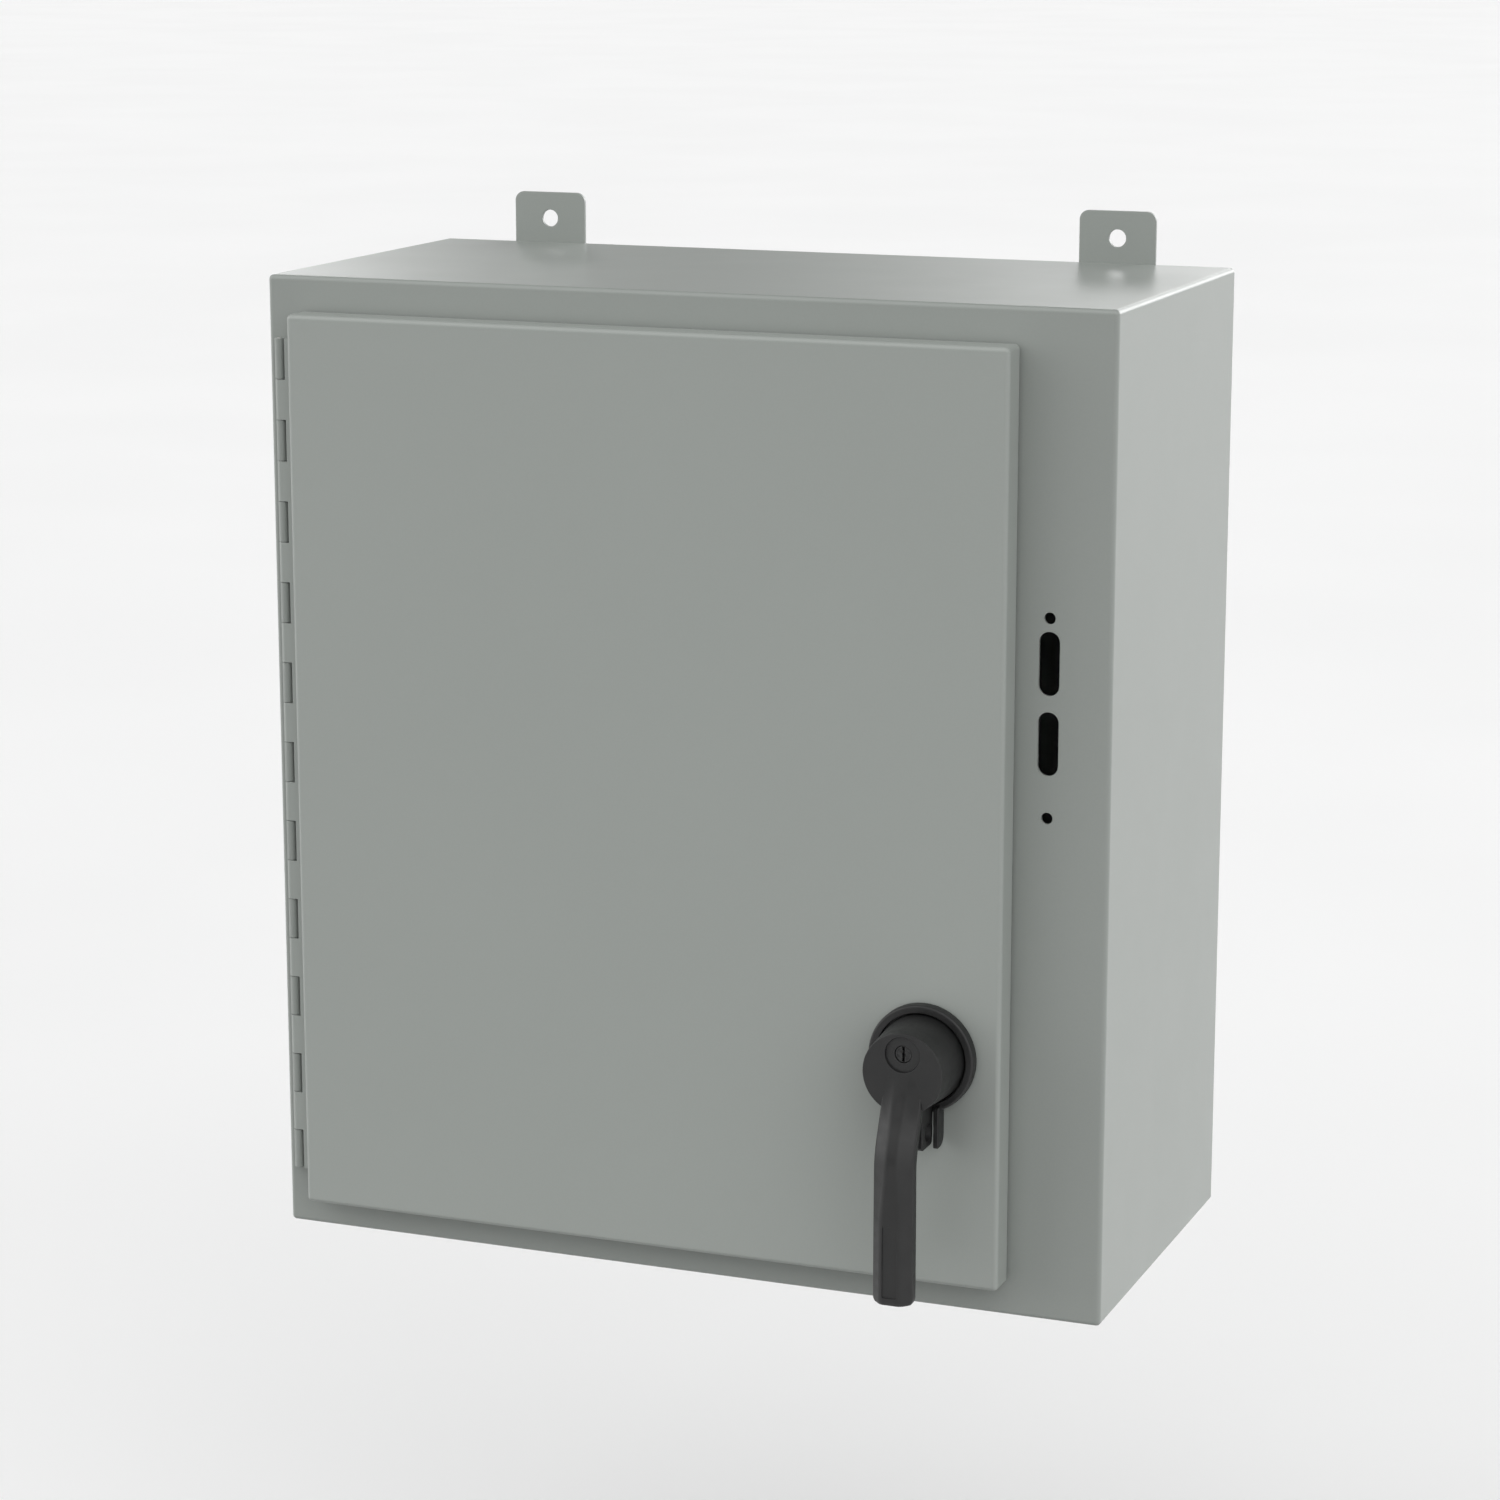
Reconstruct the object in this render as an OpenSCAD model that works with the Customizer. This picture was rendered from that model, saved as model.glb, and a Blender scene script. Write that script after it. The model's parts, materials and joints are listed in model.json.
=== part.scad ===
// Wall-mounted sheet steel enclosure: a flanged body, a hinged door with a padlockable
// lever handle, and the rod latch that the handle works behind the door.
//
// Part frame: +Z up, +X to the right of a person who faces the door, +Y to the wall.
// The origin is the middle of the four wall holes, on the wall's plane.

/* [Body] */
// Width of the body
body_w = 543; // [520:1:600]
// Height of the body
body_h = 609.6; // [600:0.2:680]
// Depth of the body, from the flange's face to the back sheet's outer face
body_d = 254; // [220:1:300]
// Thickness of the body's and the door's sheet steel
sheet_t = 1.9; // [1.5:0.1:2.2]
// Outer radius of the bends in the sheet
bend_r = 3; // [2.5:0.1:4]

/* [Door opening] */
// Distance from the body's left side to the opening
opening_x = 40; // [38:0.5:44]
// Width of the opening
opening_w = 430; // [400:1:430]
// Distance from the body's top and bottom to the opening
opening_end = 39.8; // [39:0.1:46]
// How far the rolled lip round the opening stands out from the flange
lip_h = 13.2; // [11:0.1:13.2]

/* [Door] */
// Distance from the body's left side to the door
door_x = 22.8; // [22:0.1:23.5]
// Width of the door
door_w = 462.2; // [460:0.1:470]
// Distance from the body's top and bottom to the door
door_end = 21.5; // [20:0.1:23]
// Distance from the flange's face to the door's face
door_stand = 21.4; // [21:0.1:24]
// Depth of the door's turned edge
door_edge = 19; // [18:0.1:19.4]

/* [Hinge] */
// Length of the hinge
hinge_len = 533.4; // [500:0.2:540]
// Number of knuckles along the hinge
knuckle_count = 21; // [15:2:25]
// Outer radius of a knuckle
knuckle_r = 3.1; // [2.9:0.1:3.1]
// Radius of the hinge pin
pin_r = 1.55; // [1.3:0.05:1.7]

/* [Wall feet] */
// Width of a foot
foot_w = 50; // [40:1:60]
// Thickness of a foot
foot_t = 2.7; // [2:0.1:4]
// How far a foot reaches past the body
foot_rise = 33; // [28:1:40]
// Distance from the body's top or bottom to a foot's hole
foot_hole_rise = 15.875; // [14:0.125:18]
// Distance from the body's side to a foot's hole
foot_hole_inset = 76.2; // [60:0.2:100]
// Radius of a foot's hole
foot_hole_r = 5.55; // [4:0.05:7]

/* [Flange cut-outs] */
// Distance from the body's right side to the cut-outs
cutout_inset = 38.1; // [34:0.1:42]
// Heights of the two screw holes above the body's bottom
screw_hole_z = [310.1, 429.3];
// Radius of a screw hole
screw_hole_r = 3.5; // [2.5:0.1:4]
// Heights of the two slots above the body's bottom
slot_z = [354.6, 402.3];
// Width of a slot
slot_w = 12.7; // [10:0.1:14]
// Length of a slot, end to end
slot_len = 38.1; // [34:0.1:40]

/* [Handle] */
// Distance from the body's left side to the handle's axis
handle_x = 438; // [430:1:438]
// Height of the handle's axis above the body's bottom
handle_z = 164; // [160:1:180]
// Radius of the escutcheon
escutcheon_r = 33; // [31:0.5:36]
// Radius of the hub where it turns in the escutcheon
hub_base_r = 27.2; // [26:0.1:27.4]
// Radius of the hub's front face
hub_face_r = 24.7; // [24:0.1:26]
// Width of the grip
grip_w = 25; // [22:0.5:27]
// Thickness of the grip from front to back
grip_t = 17; // [15:0.5:19]
// Distance from the handle's axis down to the grip's tip
grip_reach = 137; // [120:1:150]
// Radius of the padlock eye
eye_r = 5.5; // [4:0.1:5.5]

/* [Latch] */
// Distance from the handle's axis to the cam's pins
cam_arm = 20; // [19:0.5:20]
// Width of a latch rod
rod_w = 14; // [12:0.5:14]
// Radius of a latch roller
roller_r = 6.2; // [5:0.1:6.2]

/* [Equipment panel] */
// Width of the panel
panel_w = 431.8; // [380:0.2:440]
// Height of the panel
panel_h = 533.4; // [480:0.2:540]
// Distance between the back sheet and the panel
panel_gap = 12.7; // [10:0.1:20]

/* [Hidden] */
$fn = 64;

// Colours of the finishes
enclosure_grey = [0.56, 0.58, 0.56];
plated_steel = [0.78, 0.78, 0.74];
black_plastic = [0.12, 0.12, 0.13];
gasket_black = [0.08, 0.08, 0.08];
nylon_white = [0.88, 0.87, 0.82];

// Clearance round a part that turns or slides
running_gap = 0.05;
// Room that a small step or a cut needs past a face
cut_past = 1;
// Inner radius of the bends in the sheet
inner_r = bend_r - sheet_t;

// Corner frame: x from the body's left side, y from the flange's face to the wall,
// z from the body's bottom. The modules below are written in it.
door_h = body_h - 2 * door_end;
door_inner_y = sheet_t - door_stand;
opening_h = body_h - 2 * opening_end;
back_inner_y = body_d - sheet_t;
// Depth of the flange's own turned edge, up to the seam with the wrap
flange_d = 12;
cutout_x = body_w - cutout_inset;

// Hinge: the axis stands off the flange so that the open door's leaf clears it
hinge_x = 9;
leaf_gap = 0.3;
hinge_y = -(knuckle_r + leaf_gap);
hinge_z = (body_h - hinge_len) / 2;
knuckle_pitch = hinge_len / knuckle_count;
leaf_t = 1.5;
body_leaf_w = 15;
door_leaf_w = 27;
notch_gap = 2;
leaf_front_y = hinge_y - knuckle_r;
// The door's hinge edge and its inward return stop short of the hinge's ends
hinge_edge_margin = 8;

// Door gasket and the strips beside it
gasket_w = 14;
gasket_gap = 0.4;
gasket_y = -(lip_h + gasket_gap);
gasket_inset = (gasket_w - sheet_t) / 2;
gasket_r = 8;
strip_w = 6;
strip_t = 1.2;

// Escutcheon and bushing
escutcheon_gasket_t = 1;
escutcheon_y = -door_stand - escutcheon_gasket_t;
escutcheon_face_y = escutcheon_y - 7;
recess_y = escutcheon_y - 3;
recess_r = 28;
bushing_r = 11;
bushing_flange_r = 16;
shaft_r = 6;
// Heights of the two escutcheon screws above and below the handle's axis
screw_z = [-22, 22];
screw_r = 2.4;

// The stop ear on the escutcheon and the padlock ear on the hub stand side by side
stop_ear_x = [10, 13];
stop_ear_y = -33.7;
stop_ear_z = [-53, -27.5];
eye_ear_x = [3, 8.7];
eye_ear_y = [-50, -31];
eye_ear_z = [-50.5, -20];
eye_y = -39.2;
eye_z = -41.5;
ear_r = 3;

// Hub and grip
hub_back_y = recess_y - 0.4;
hub_face_y = -62;
hub_chamfer = 0.8;
grip_bend_y = -82;
grip_bend_z = -48;
grip_slope = (grip_bend_y - hub_face_y) / grip_bend_z;
grip_root_z = 6;
grip_face_w = 10;
grip_side_t = 8;
grip_chamfer_t = 6;
grip_tip_round = 4;
slice_t = 0.01;
lock_z = 11.6;
lock_recess_r = 10.5;
lock_recess_y = hub_face_y + 1.6;
key_r = 5.2;
key_face_y = lock_recess_y + 0.8;
key_back_y = -41;
shaft_front_y = -38;

// Latch: the rods run just behind the flange, with the cam behind the rods
rod_y = [3.5, 7.5];
cam_y = [9, 13];
cam_pin_offset = cam_arm * sin(45);
cam_pin_r = 3;
cam_pin_head_r = 4.5;
rod_x = [12, 12 + rod_w];
head_x = [8.5, 27];
head_half_h = 8;
head_slot_x = [10, 24.3];
head_slot_half_h = 4;
roller_y = 8.7;
roller_inset = 27.6;
roller_w = 8.2;
roller_side_gap = 0.3;
roller_pin_r = 2.5;
rod_ear_t = 3;
rod_ear_half_h = 8;
rod_ear_y = 14;
finger_reach = 44;
finger_tip_w = 8;
finger_tip_y = 2.6;

// Positions of the four wall feet, the four panel studs and the two ground studs
foot_x = [foot_hole_inset, body_w - foot_hole_inset];
stud_inset = 9.5;
stud_collar_r = 7;
stud_r = 4.75;
stud_len = 25;
panel_t = 2.7;
panel_face_y = back_inner_y - panel_gap - panel_t;
washer_t = 1.6;
nut_t = 8;
ground_r = 3;
ground_nut_t = 5;

// ---- Helpers ----

// Moves its children from the corner frame to the part's frame.
module from_corner() {
    translate([-body_w / 2, -(body_d + foot_t), -body_h / 2]) children();
}

// Moves its children from the handle's axis, at the flange's face, to the part's frame.
module from_handle() {
    from_corner() translate([handle_x, 0, handle_z]) children();
}

// A block between two opposite corners.
module block(low, high) {
    translate(low) cube(high - low);
}

// A flat shape in X and Z, made solid from y0 to y1.
module plate_y(y0, y1) {
    translate([0, y1, 0]) rotate([90, 0, 0]) linear_extrude(y1 - y0) children();
}

// A flat shape in Y and Z, made solid from x0 to x1.
module plate_x(x0, x1) {
    translate([x0, 0, 0]) rotate([90, 0, 90]) linear_extrude(x1 - x0) children();
}

// A round bar along Y.
module bar_y(r, y0, y1) {
    translate([0, y0, 0]) rotate([-90, 0, 0]) cylinder(r = r, h = y1 - y0);
}

// A round bar along X.
module bar_x(r, x0, x1) {
    translate([x0, 0, 0]) rotate([0, 90, 0]) cylinder(r = r, h = x1 - x0);
}

// A hexagonal nut along Y, with a plain bore.
module nut_y(flat_r, bore_r, y0, y1) {
    difference() {
        translate([0, y0, 0]) rotate([-90, 0, 0]) cylinder(r = flat_r / cos(30), h = y1 - y0, $fn = 6);
        bar_y(bore_r, y0 - cut_past, y1 + cut_past);
    }
}

// A washer along Y.
module washer_y(r, bore_r, y0, y1) {
    difference() {
        bar_y(r, y0, y1);
        bar_y(bore_r, y0 - cut_past, y1 + cut_past);
    }
}

// A rectangle from the origin, with rounded corners.
module rounded(w, h, r) {
    translate([r, 0]) square([w - 2 * r, h]);
    translate([0, r]) square([w, h - 2 * r]);
    for (x = [r, w - r], y = [r, h - r]) translate([x, y]) circle(r);
}

// A block from the origin whose front edges and whose edges along Y are rounded.
module tray(w, h, d, r) {
    intersection() {
        plate_y(0, d) rounded(w, h, r);
        linear_extrude(h) rounded(w, d + r, r);
        plate_x(0, w) rounded(d + r, h, r);
    }
}

// A frame of sheet of the given width round a rectangle.
module rim(x, z, w, h, band, r) {
    difference() {
        translate([x - band, z - band]) rounded(w + 2 * band, h + 2 * band, r + band);
        translate([x, z]) rounded(w, h, r);
    }
}

// ---- Body ----

module body_wrap() {
    color(enclosure_grey) from_corner() plate_y(flange_d, body_d)
        rim(sheet_t, sheet_t, body_w - 2 * sheet_t, body_h - 2 * sheet_t, sheet_t, inner_r);
}

module front_flange() {
    lip_corner_r = 4;
    color(enclosure_grey) from_corner() {
        difference() {
            tray(body_w, body_h, flange_d, bend_r);
            translate([sheet_t, sheet_t, sheet_t])
                tray(body_w - 2 * sheet_t, body_h - 2 * sheet_t, flange_d, inner_r);
            plate_y(-cut_past, bend_r + cut_past)
                translate([opening_x, opening_end]) rounded(opening_w, opening_h, lip_corner_r);
            for (z = screw_hole_z)
                translate([cutout_x, 0, z]) bar_y(screw_hole_r, -cut_past, bend_r + cut_past);
            for (z = slot_z) translate([cutout_x, 0, z]) slot_cut();
        }
        plate_y(-lip_h, sheet_t)
            rim(opening_x, opening_end, opening_w, opening_h, sheet_t, lip_corner_r);
    }
}

// The cutter of one upright slot in the flange: its middle and its two round ends.
module slot_cut() {
    half_w = slot_w / 2;
    end_z = slot_len / 2 - half_w;
    block([-half_w, -cut_past, -end_z], [half_w, bend_r + cut_past, end_z]);
    for (z = [-end_z, end_z]) translate([0, 0, z]) bar_y(half_w, -cut_past, bend_r + cut_past);
}

module back_sheet() {
    corner_r = 2;
    color(enclosure_grey) from_corner() plate_y(back_inner_y, body_d)
        translate([sheet_t, sheet_t])
        rounded(body_w - 2 * sheet_t, body_h - 2 * sheet_t, corner_r);
}

// A wall foot on the back of the body. side is 0 left or 1 right; top is true for an upper foot.
module wall_foot(side, top) {
    overlap = 30;
    corner_r = 6;
    z0 = top ? body_h - overlap : -foot_rise;
    hole_z = top ? body_h + foot_hole_rise : -foot_hole_rise;
    color(enclosure_grey) from_corner() translate([foot_x[side], 0, 0]) difference() {
        plate_y(body_d, body_d + foot_t) translate([-foot_w / 2, z0])
            rounded(foot_w, overlap + foot_rise, corner_r);
        translate([0, 0, hole_z]) bar_y(foot_hole_r, body_d - cut_past, body_d + foot_t + cut_past);
    }
}

// ---- Hinge ----

// The knuckles of one leaf: every second one along the hinge, from the given place.
module knuckles(first) {
    end_gap = 0.15;
    for (i = [first : 2 : knuckle_count - 1])
        translate([hinge_x, hinge_y, hinge_z + i * knuckle_pitch + end_gap])
            cylinder(r = knuckle_r, h = knuckle_pitch - 2 * end_gap);
}

// The notches in a leaf that clear the other leaf's knuckles.
module leaf_notches(first) {
    reach = knuckle_r + notch_gap;
    for (i = [first : 2 : knuckle_count - 1])
        translate([hinge_x - reach, hinge_y - reach, hinge_z + i * knuckle_pitch - leaf_gap])
            cube([2 * reach, 2 * reach, knuckle_pitch + 2 * leaf_gap]);
}

module hinge_bore() {
    translate([hinge_x, hinge_y, hinge_z - cut_past])
        cylinder(r = pin_r + running_gap, h = hinge_len + 2 * cut_past);
}

module hinge_body_leaf() {
    color(enclosure_grey) from_corner() difference() {
        union() {
            difference() {
                block([hinge_x, -leaf_t, hinge_z], [hinge_x + body_leaf_w, 0, hinge_z + hinge_len]);
                leaf_notches(1);
            }
            knuckles(0);
        }
        hinge_bore();
    }
}

module hinge_door_leaf() {
    color(enclosure_grey) from_corner() difference() {
        union() {
            difference() {
                block([hinge_x, leaf_front_y, hinge_z],
                      [hinge_x + door_leaf_w, leaf_front_y + leaf_t, hinge_z + hinge_len]);
                leaf_notches(0);
            }
            knuckles(1);
        }
        hinge_bore();
    }
}

module hinge_pin() {
    head_h = 1.5;
    color(plated_steel) from_corner() translate([hinge_x, hinge_y, hinge_z - head_h])
        cylinder(r = pin_r, h = hinge_len + 2 * head_h);
}

// ---- Equipment panel and ground stud in the body ----

// Repeats its children at the four panel studs.
module at_studs() {
    reach_x = panel_w / 2 - stud_inset;
    reach_z = panel_h / 2 - stud_inset;
    from_corner() for (x = [-reach_x, reach_x], z = [-reach_z, reach_z])
        translate([body_w / 2 + x, 0, body_h / 2 + z]) children();
}

module collar_studs() {
    collar_y = back_inner_y - panel_gap;
    color(plated_steel) at_studs() {
        bar_y(stud_collar_r, collar_y, back_inner_y);
        bar_y(stud_r, collar_y - stud_len, collar_y + cut_past);
    }
}

module equipment_panel() {
    hole_r = 5.2;
    corner_r = 6;
    color([0.9, 0.9, 0.87]) difference() {
        from_corner() plate_y(panel_face_y, panel_face_y + panel_t)
            translate([(body_w - panel_w) / 2, (body_h - panel_h) / 2])
            rounded(panel_w, panel_h, corner_r);
        at_studs() bar_y(hole_r, panel_face_y - cut_past, panel_face_y + panel_t + cut_past);
    }
}

module panel_washers() {
    color(plated_steel) at_studs()
        washer_y(10, stud_r + running_gap, panel_face_y - washer_t, panel_face_y);
}

module panel_nuts() {
    nut_back_y = panel_face_y - washer_t;
    color(plated_steel) at_studs()
        nut_y(7.15, stud_r + running_gap, nut_back_y - nut_t, nut_back_y);
}

// Moves its children to the body's ground stud.
module at_body_ground() {
    from_corner() translate([30, 0, 45]) children();
}

module body_ground_stud() {
    stud_y = back_inner_y - stud_len;
    color(plated_steel) at_body_ground() bar_y(ground_r, stud_y, back_inner_y);
}

module body_ground_nut() {
    nut_y0 = back_inner_y - 12;
    color(plated_steel) at_body_ground() {
        nut_y(5, ground_r + running_gap, nut_y0, nut_y0 + ground_nut_t);
        washer_y(6.5, ground_r + running_gap, nut_y0 + ground_nut_t, nut_y0 + ground_nut_t + washer_t);
    }
}

// ---- Door ----

module door_panel() {
    edge_z = [hinge_z - hinge_edge_margin, hinge_z + hinge_len + hinge_edge_margin];
    return_x = hinge_x + door_leaf_w;
    hole_gap = 0.1;
    color(enclosure_grey) difference() {
        from_corner() {
            difference() {
                translate([door_x, -door_stand, door_end]) tray(door_w, door_h, door_edge, bend_r);
                translate([door_x + sheet_t, door_inner_y, door_end + sheet_t])
                    tray(door_w - 2 * sheet_t, door_h - 2 * sheet_t, door_edge, inner_r);
                block([door_x - cut_past, leaf_front_y, edge_z[0]], [return_x, 0, edge_z[1]]);
            }
            block([door_x, leaf_front_y - sheet_t, edge_z[0]], [return_x, leaf_front_y, edge_z[1]]);
        }
        from_handle() {
            bar_y(bushing_r + hole_gap, -door_stand - cut_past, door_inner_y + cut_past);
            for (z = screw_z) translate([0, 0, z])
                bar_y(screw_r + 2 * hole_gap, -door_stand - cut_past, door_inner_y + cut_past);
        }
    }
}

module door_gasket() {
    color(gasket_black) from_corner() plate_y(door_inner_y, gasket_y)
        rim(opening_x + gasket_inset, opening_end + gasket_inset, opening_w - 2 * gasket_inset,
            opening_h - 2 * gasket_inset, gasket_w, gasket_r);
}

module gasket_strips() {
    gap = 2;
    x0 = opening_x + gasket_inset;
    z0 = opening_end + gasket_inset;
    x1 = x0 + opening_w - 2 * gasket_inset;
    z1 = z0 + opening_h - 2 * gasket_inset;
    y0 = door_inner_y;
    y1 = door_inner_y + strip_t;
    side_z = [z0 + gasket_r, z1 - gasket_r];
    end_x = [x0 + strip_w + gap, x1 - strip_w - gap];
    color(plated_steel) from_corner() {
        for (x = [x0, x1 - strip_w]) block([x, y0, side_z[0]], [x + strip_w, y1, side_z[1]]);
        for (z = [z0, z1 - strip_w]) block([end_x[0], y0, z], [end_x[1], y1, z + strip_w]);
    }
}

module door_stiffener() {
    x = [80, 116];
    z = [70, 540];
    depth = 14;
    foot = 9;
    metal = 1.5;
    y0 = door_inner_y;
    color(enclosure_grey) from_corner() translate([0, 0, z[0]]) linear_extrude(z[1] - z[0]) {
        for (side = [x[0], x[1] - foot]) translate([side, y0]) square([foot, metal]);
        for (side = [x[0] + foot - metal, x[1] - foot]) translate([side, y0]) square([metal, depth]);
        translate([x[0] + foot - metal, y0 + depth - metal])
            square([x[1] - x[0] - 2 * foot + 2 * metal, metal]);
    }
}

module document_pocket() {
    low = [160, door_inner_y, 250];
    high = [400, door_inner_y + 24, 450];
    wall = 2;
    front_drop = 40;
    color([0.75, 0.75, 0.73]) from_corner() difference() {
        block(low, high);
        block(low + [wall, wall, wall], high + [-wall, -wall, cut_past]);
        block([low[0] - cut_past, high[1] - wall - cut_past, high[2] - front_drop],
              high + [cut_past, cut_past, cut_past]);
    }
}

// Moves its children to the door's ground stud.
module at_door_ground() {
    from_corner() translate([140, 0, 62]) children();
}

module door_ground_stud() {
    color(plated_steel) at_door_ground() bar_y(ground_r, door_inner_y, door_inner_y + 20);
}

module door_ground_nut() {
    nut_y0 = door_inner_y + 8;
    color(plated_steel) at_door_ground() {
        washer_y(6.5, ground_r + running_gap, nut_y0 - washer_t, nut_y0);
        nut_y(5, ground_r + running_gap, nut_y0, nut_y0 + ground_nut_t);
    }
}

// ---- Handle seat on the door ----

module handle_escutcheon() {
    screw_hole_y = recess_y + 0.9;
    color(black_plastic) from_handle() difference() {
        union() {
            bar_y(escutcheon_r, escutcheon_face_y, escutcheon_y);
            block([stop_ear_x[0], stop_ear_y, stop_ear_z[0]],
                  [stop_ear_x[1], escutcheon_y, stop_ear_z[1]]);
        }
        bar_y(recess_r, escutcheon_face_y - cut_past, recess_y);
        bar_y(bushing_r + 0.1, recess_y - cut_past, escutcheon_y + cut_past);
        for (z = screw_z) translate([0, 0, z])
            bar_y(screw_r + running_gap, screw_hole_y, escutcheon_y + cut_past);
    }
}

module escutcheon_gasket() {
    edge_inset = 1.5;
    color(gasket_black) from_handle() difference() {
        bar_y(escutcheon_r - edge_inset, escutcheon_y, -door_stand);
        bar_y(bushing_r + 0.1, escutcheon_y - cut_past, cut_past - door_stand);
        for (z = screw_z) translate([0, 0, z])
            bar_y(screw_r + 0.2, escutcheon_y - cut_past, cut_past - door_stand);
    }
}

module escutcheon_screws() {
    head_r = 4.5;
    head_t = 2.8;
    slot_half_w = 0.6;
    color(plated_steel) from_handle() for (z = screw_z)
        translate([0, 0, z]) difference() {
            union() {
                bar_y(screw_r, recess_y + 1, door_inner_y + cut_past);
                bar_y(head_r, door_inner_y, door_inner_y + head_t);
            }
            block([-head_r, door_inner_y + head_t / 2, -slot_half_w],
                  [head_r, door_inner_y + head_t + cut_past, slot_half_w]);
        }
}

module shaft_bushing() {
    flange_t = 4;
    tail = 7.5;
    color(plated_steel) from_handle() difference() {
        union() {
            bar_y(bushing_r, recess_y, door_inner_y + tail);
            bar_y(bushing_flange_r, door_inner_y, door_inner_y + flange_t);
        }
        bar_y(shaft_r + running_gap, recess_y - cut_past, door_inner_y + tail + cut_past);
    }
}

// ---- Handle ----

// One level slice through the grip, with its front face at y and its middle at z. inset narrows it.
module grip_slice(y, z, inset) {
    face = grip_face_w / 2;
    side = grip_w / 2 - inset;
    front = y + inset;
    back = y + grip_t - inset;
    translate([0, 0, z]) linear_extrude(slice_t) polygon([
        [-face, front], [face, front],
        [side, front + grip_chamfer_t], [side, front + grip_chamfer_t + grip_side_t],
        [face, back], [-face, back],
        [-side, front + grip_chamfer_t + grip_side_t], [-side, front + grip_chamfer_t]
    ]);
}

module handle_lever() {
    panel_z = [-132, -88];
    panel_half_w = 3.6;
    panel_depth = 0.5;
    color(black_plastic) from_handle() difference() {
        union() {
            rotate([-90, 0, 0]) rotate_extrude() polygon([
                [0, hub_face_y], [hub_face_r - hub_chamfer, hub_face_y],
                [hub_face_r, hub_face_y + hub_chamfer], [hub_base_r, hub_back_y], [0, hub_back_y]
            ]);
            hull() {
                grip_slice(hub_face_y + grip_slope * grip_root_z, grip_root_z, 0);
                grip_slice(grip_bend_y, grip_bend_z, 0);
            }
            hull() {
                grip_slice(grip_bend_y, grip_bend_z, 0);
                grip_slice(grip_bend_y, grip_tip_round - grip_reach, 0);
                grip_slice(grip_bend_y, -grip_reach, grip_tip_round / 2);
            }
            plate_x(eye_ear_x[0], eye_ear_x[1]) translate([eye_ear_y[0], eye_ear_z[0]])
                rounded(eye_ear_y[1] - eye_ear_y[0], eye_ear_z[1] - eye_ear_z[0], ear_r);
        }
        translate([0, eye_y, eye_z]) bar_x(eye_r, eye_ear_x[0] - cut_past, eye_ear_x[1] + cut_past);
        translate([0, 0, lock_z]) {
            bar_y(lock_recess_r, hub_face_y - cut_past, lock_recess_y);
            bar_y(key_r + running_gap, hub_face_y - cut_past, key_back_y + 0.5);
        }
        bar_y(shaft_r, shaft_front_y, hub_back_y + cut_past);
        block([-panel_half_w, grip_bend_y - cut_past, panel_z[0]],
              [panel_half_w, grip_bend_y + panel_depth, panel_z[1]]);
    }
}

module key_cylinder() {
    slot_half = [0.8, 4.6];
    slot_depth = 4;
    color(plated_steel) from_handle() translate([0, 0, lock_z]) difference() {
        bar_y(key_r, key_face_y, key_back_y);
        block([-slot_half[0], key_face_y - cut_past, -slot_half[1]],
              [slot_half[0], key_face_y + slot_depth, slot_half[1]]);
    }
}

module handle_shaft() {
    end_y = 21.5;
    color(plated_steel) from_handle() bar_y(shaft_r, shaft_front_y, end_y);
}

module latch_cam() {
    hub_r = 14;
    arm_r = 7;
    finger_half_h = 8;
    color(plated_steel) from_handle() difference() {
        union() {
            plate_y(cam_y[0], cam_y[1]) {
                circle(hub_r);
                rotate(45) translate([-cam_arm, -arm_r]) square([2 * cam_arm, 2 * arm_r]);
                for (turn = [45, 225]) rotate(turn) translate([cam_arm, 0]) circle(arm_r);
                translate([0, -finger_half_h]) square([finger_reach, 2 * finger_half_h]);
            }
            block([finger_reach - finger_tip_w, finger_tip_y, -finger_half_h],
                  [finger_reach, cam_y[1], finger_half_h]);
        }
        bar_y(shaft_r + running_gap, cam_y[0] - cut_past, cam_y[1] + cut_past);
    }
}

module cam_pins() {
    head_y = [1.6, 2.8];
    color(plated_steel) from_handle() for (side = [-1, 1])
        translate([side * cam_pin_offset, 0, side * cam_pin_offset]) {
            bar_y(cam_pin_r, head_y[0], cam_y[0]);
            bar_y(cam_pin_head_r, head_y[0], head_y[1]);
        }
}

module cam_washer() {
    color(plated_steel) from_handle()
        washer_y(11, shaft_r + running_gap, cam_y[1], cam_y[1] + washer_t);
}

module cam_nut() {
    nut_y0 = cam_y[1] + washer_t;
    color(plated_steel) from_handle() nut_y(9, shaft_r + running_gap, nut_y0, nut_y0 + 6);
}

// ---- Latch rods ----

// The guide of the upper rod, about the handle's axis. The lower one is its mirror image.
module rod_guide_shape(z) {
    half_h = 12;
    eye_half_h = 2;
    metal = 2;
    leg_x = [6, 8];
    gap = 0.4;
    difference() {
        union() {
            block([leg_x[1] - 26, door_inner_y, z - half_h], [leg_x[1], door_inner_y + metal, z + half_h]);
            block([leg_x[0], door_inner_y, z - half_h], [leg_x[1], 11, z + half_h]);
            block([leg_x[0], -2, z - eye_half_h], [28.5, 11, z + eye_half_h]);
        }
        block([rod_x[0] - gap, rod_y[0] - gap, z - half_h], [rod_x[1] + gap, rod_y[1] + gap, z + half_h]);
    }
}

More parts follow.
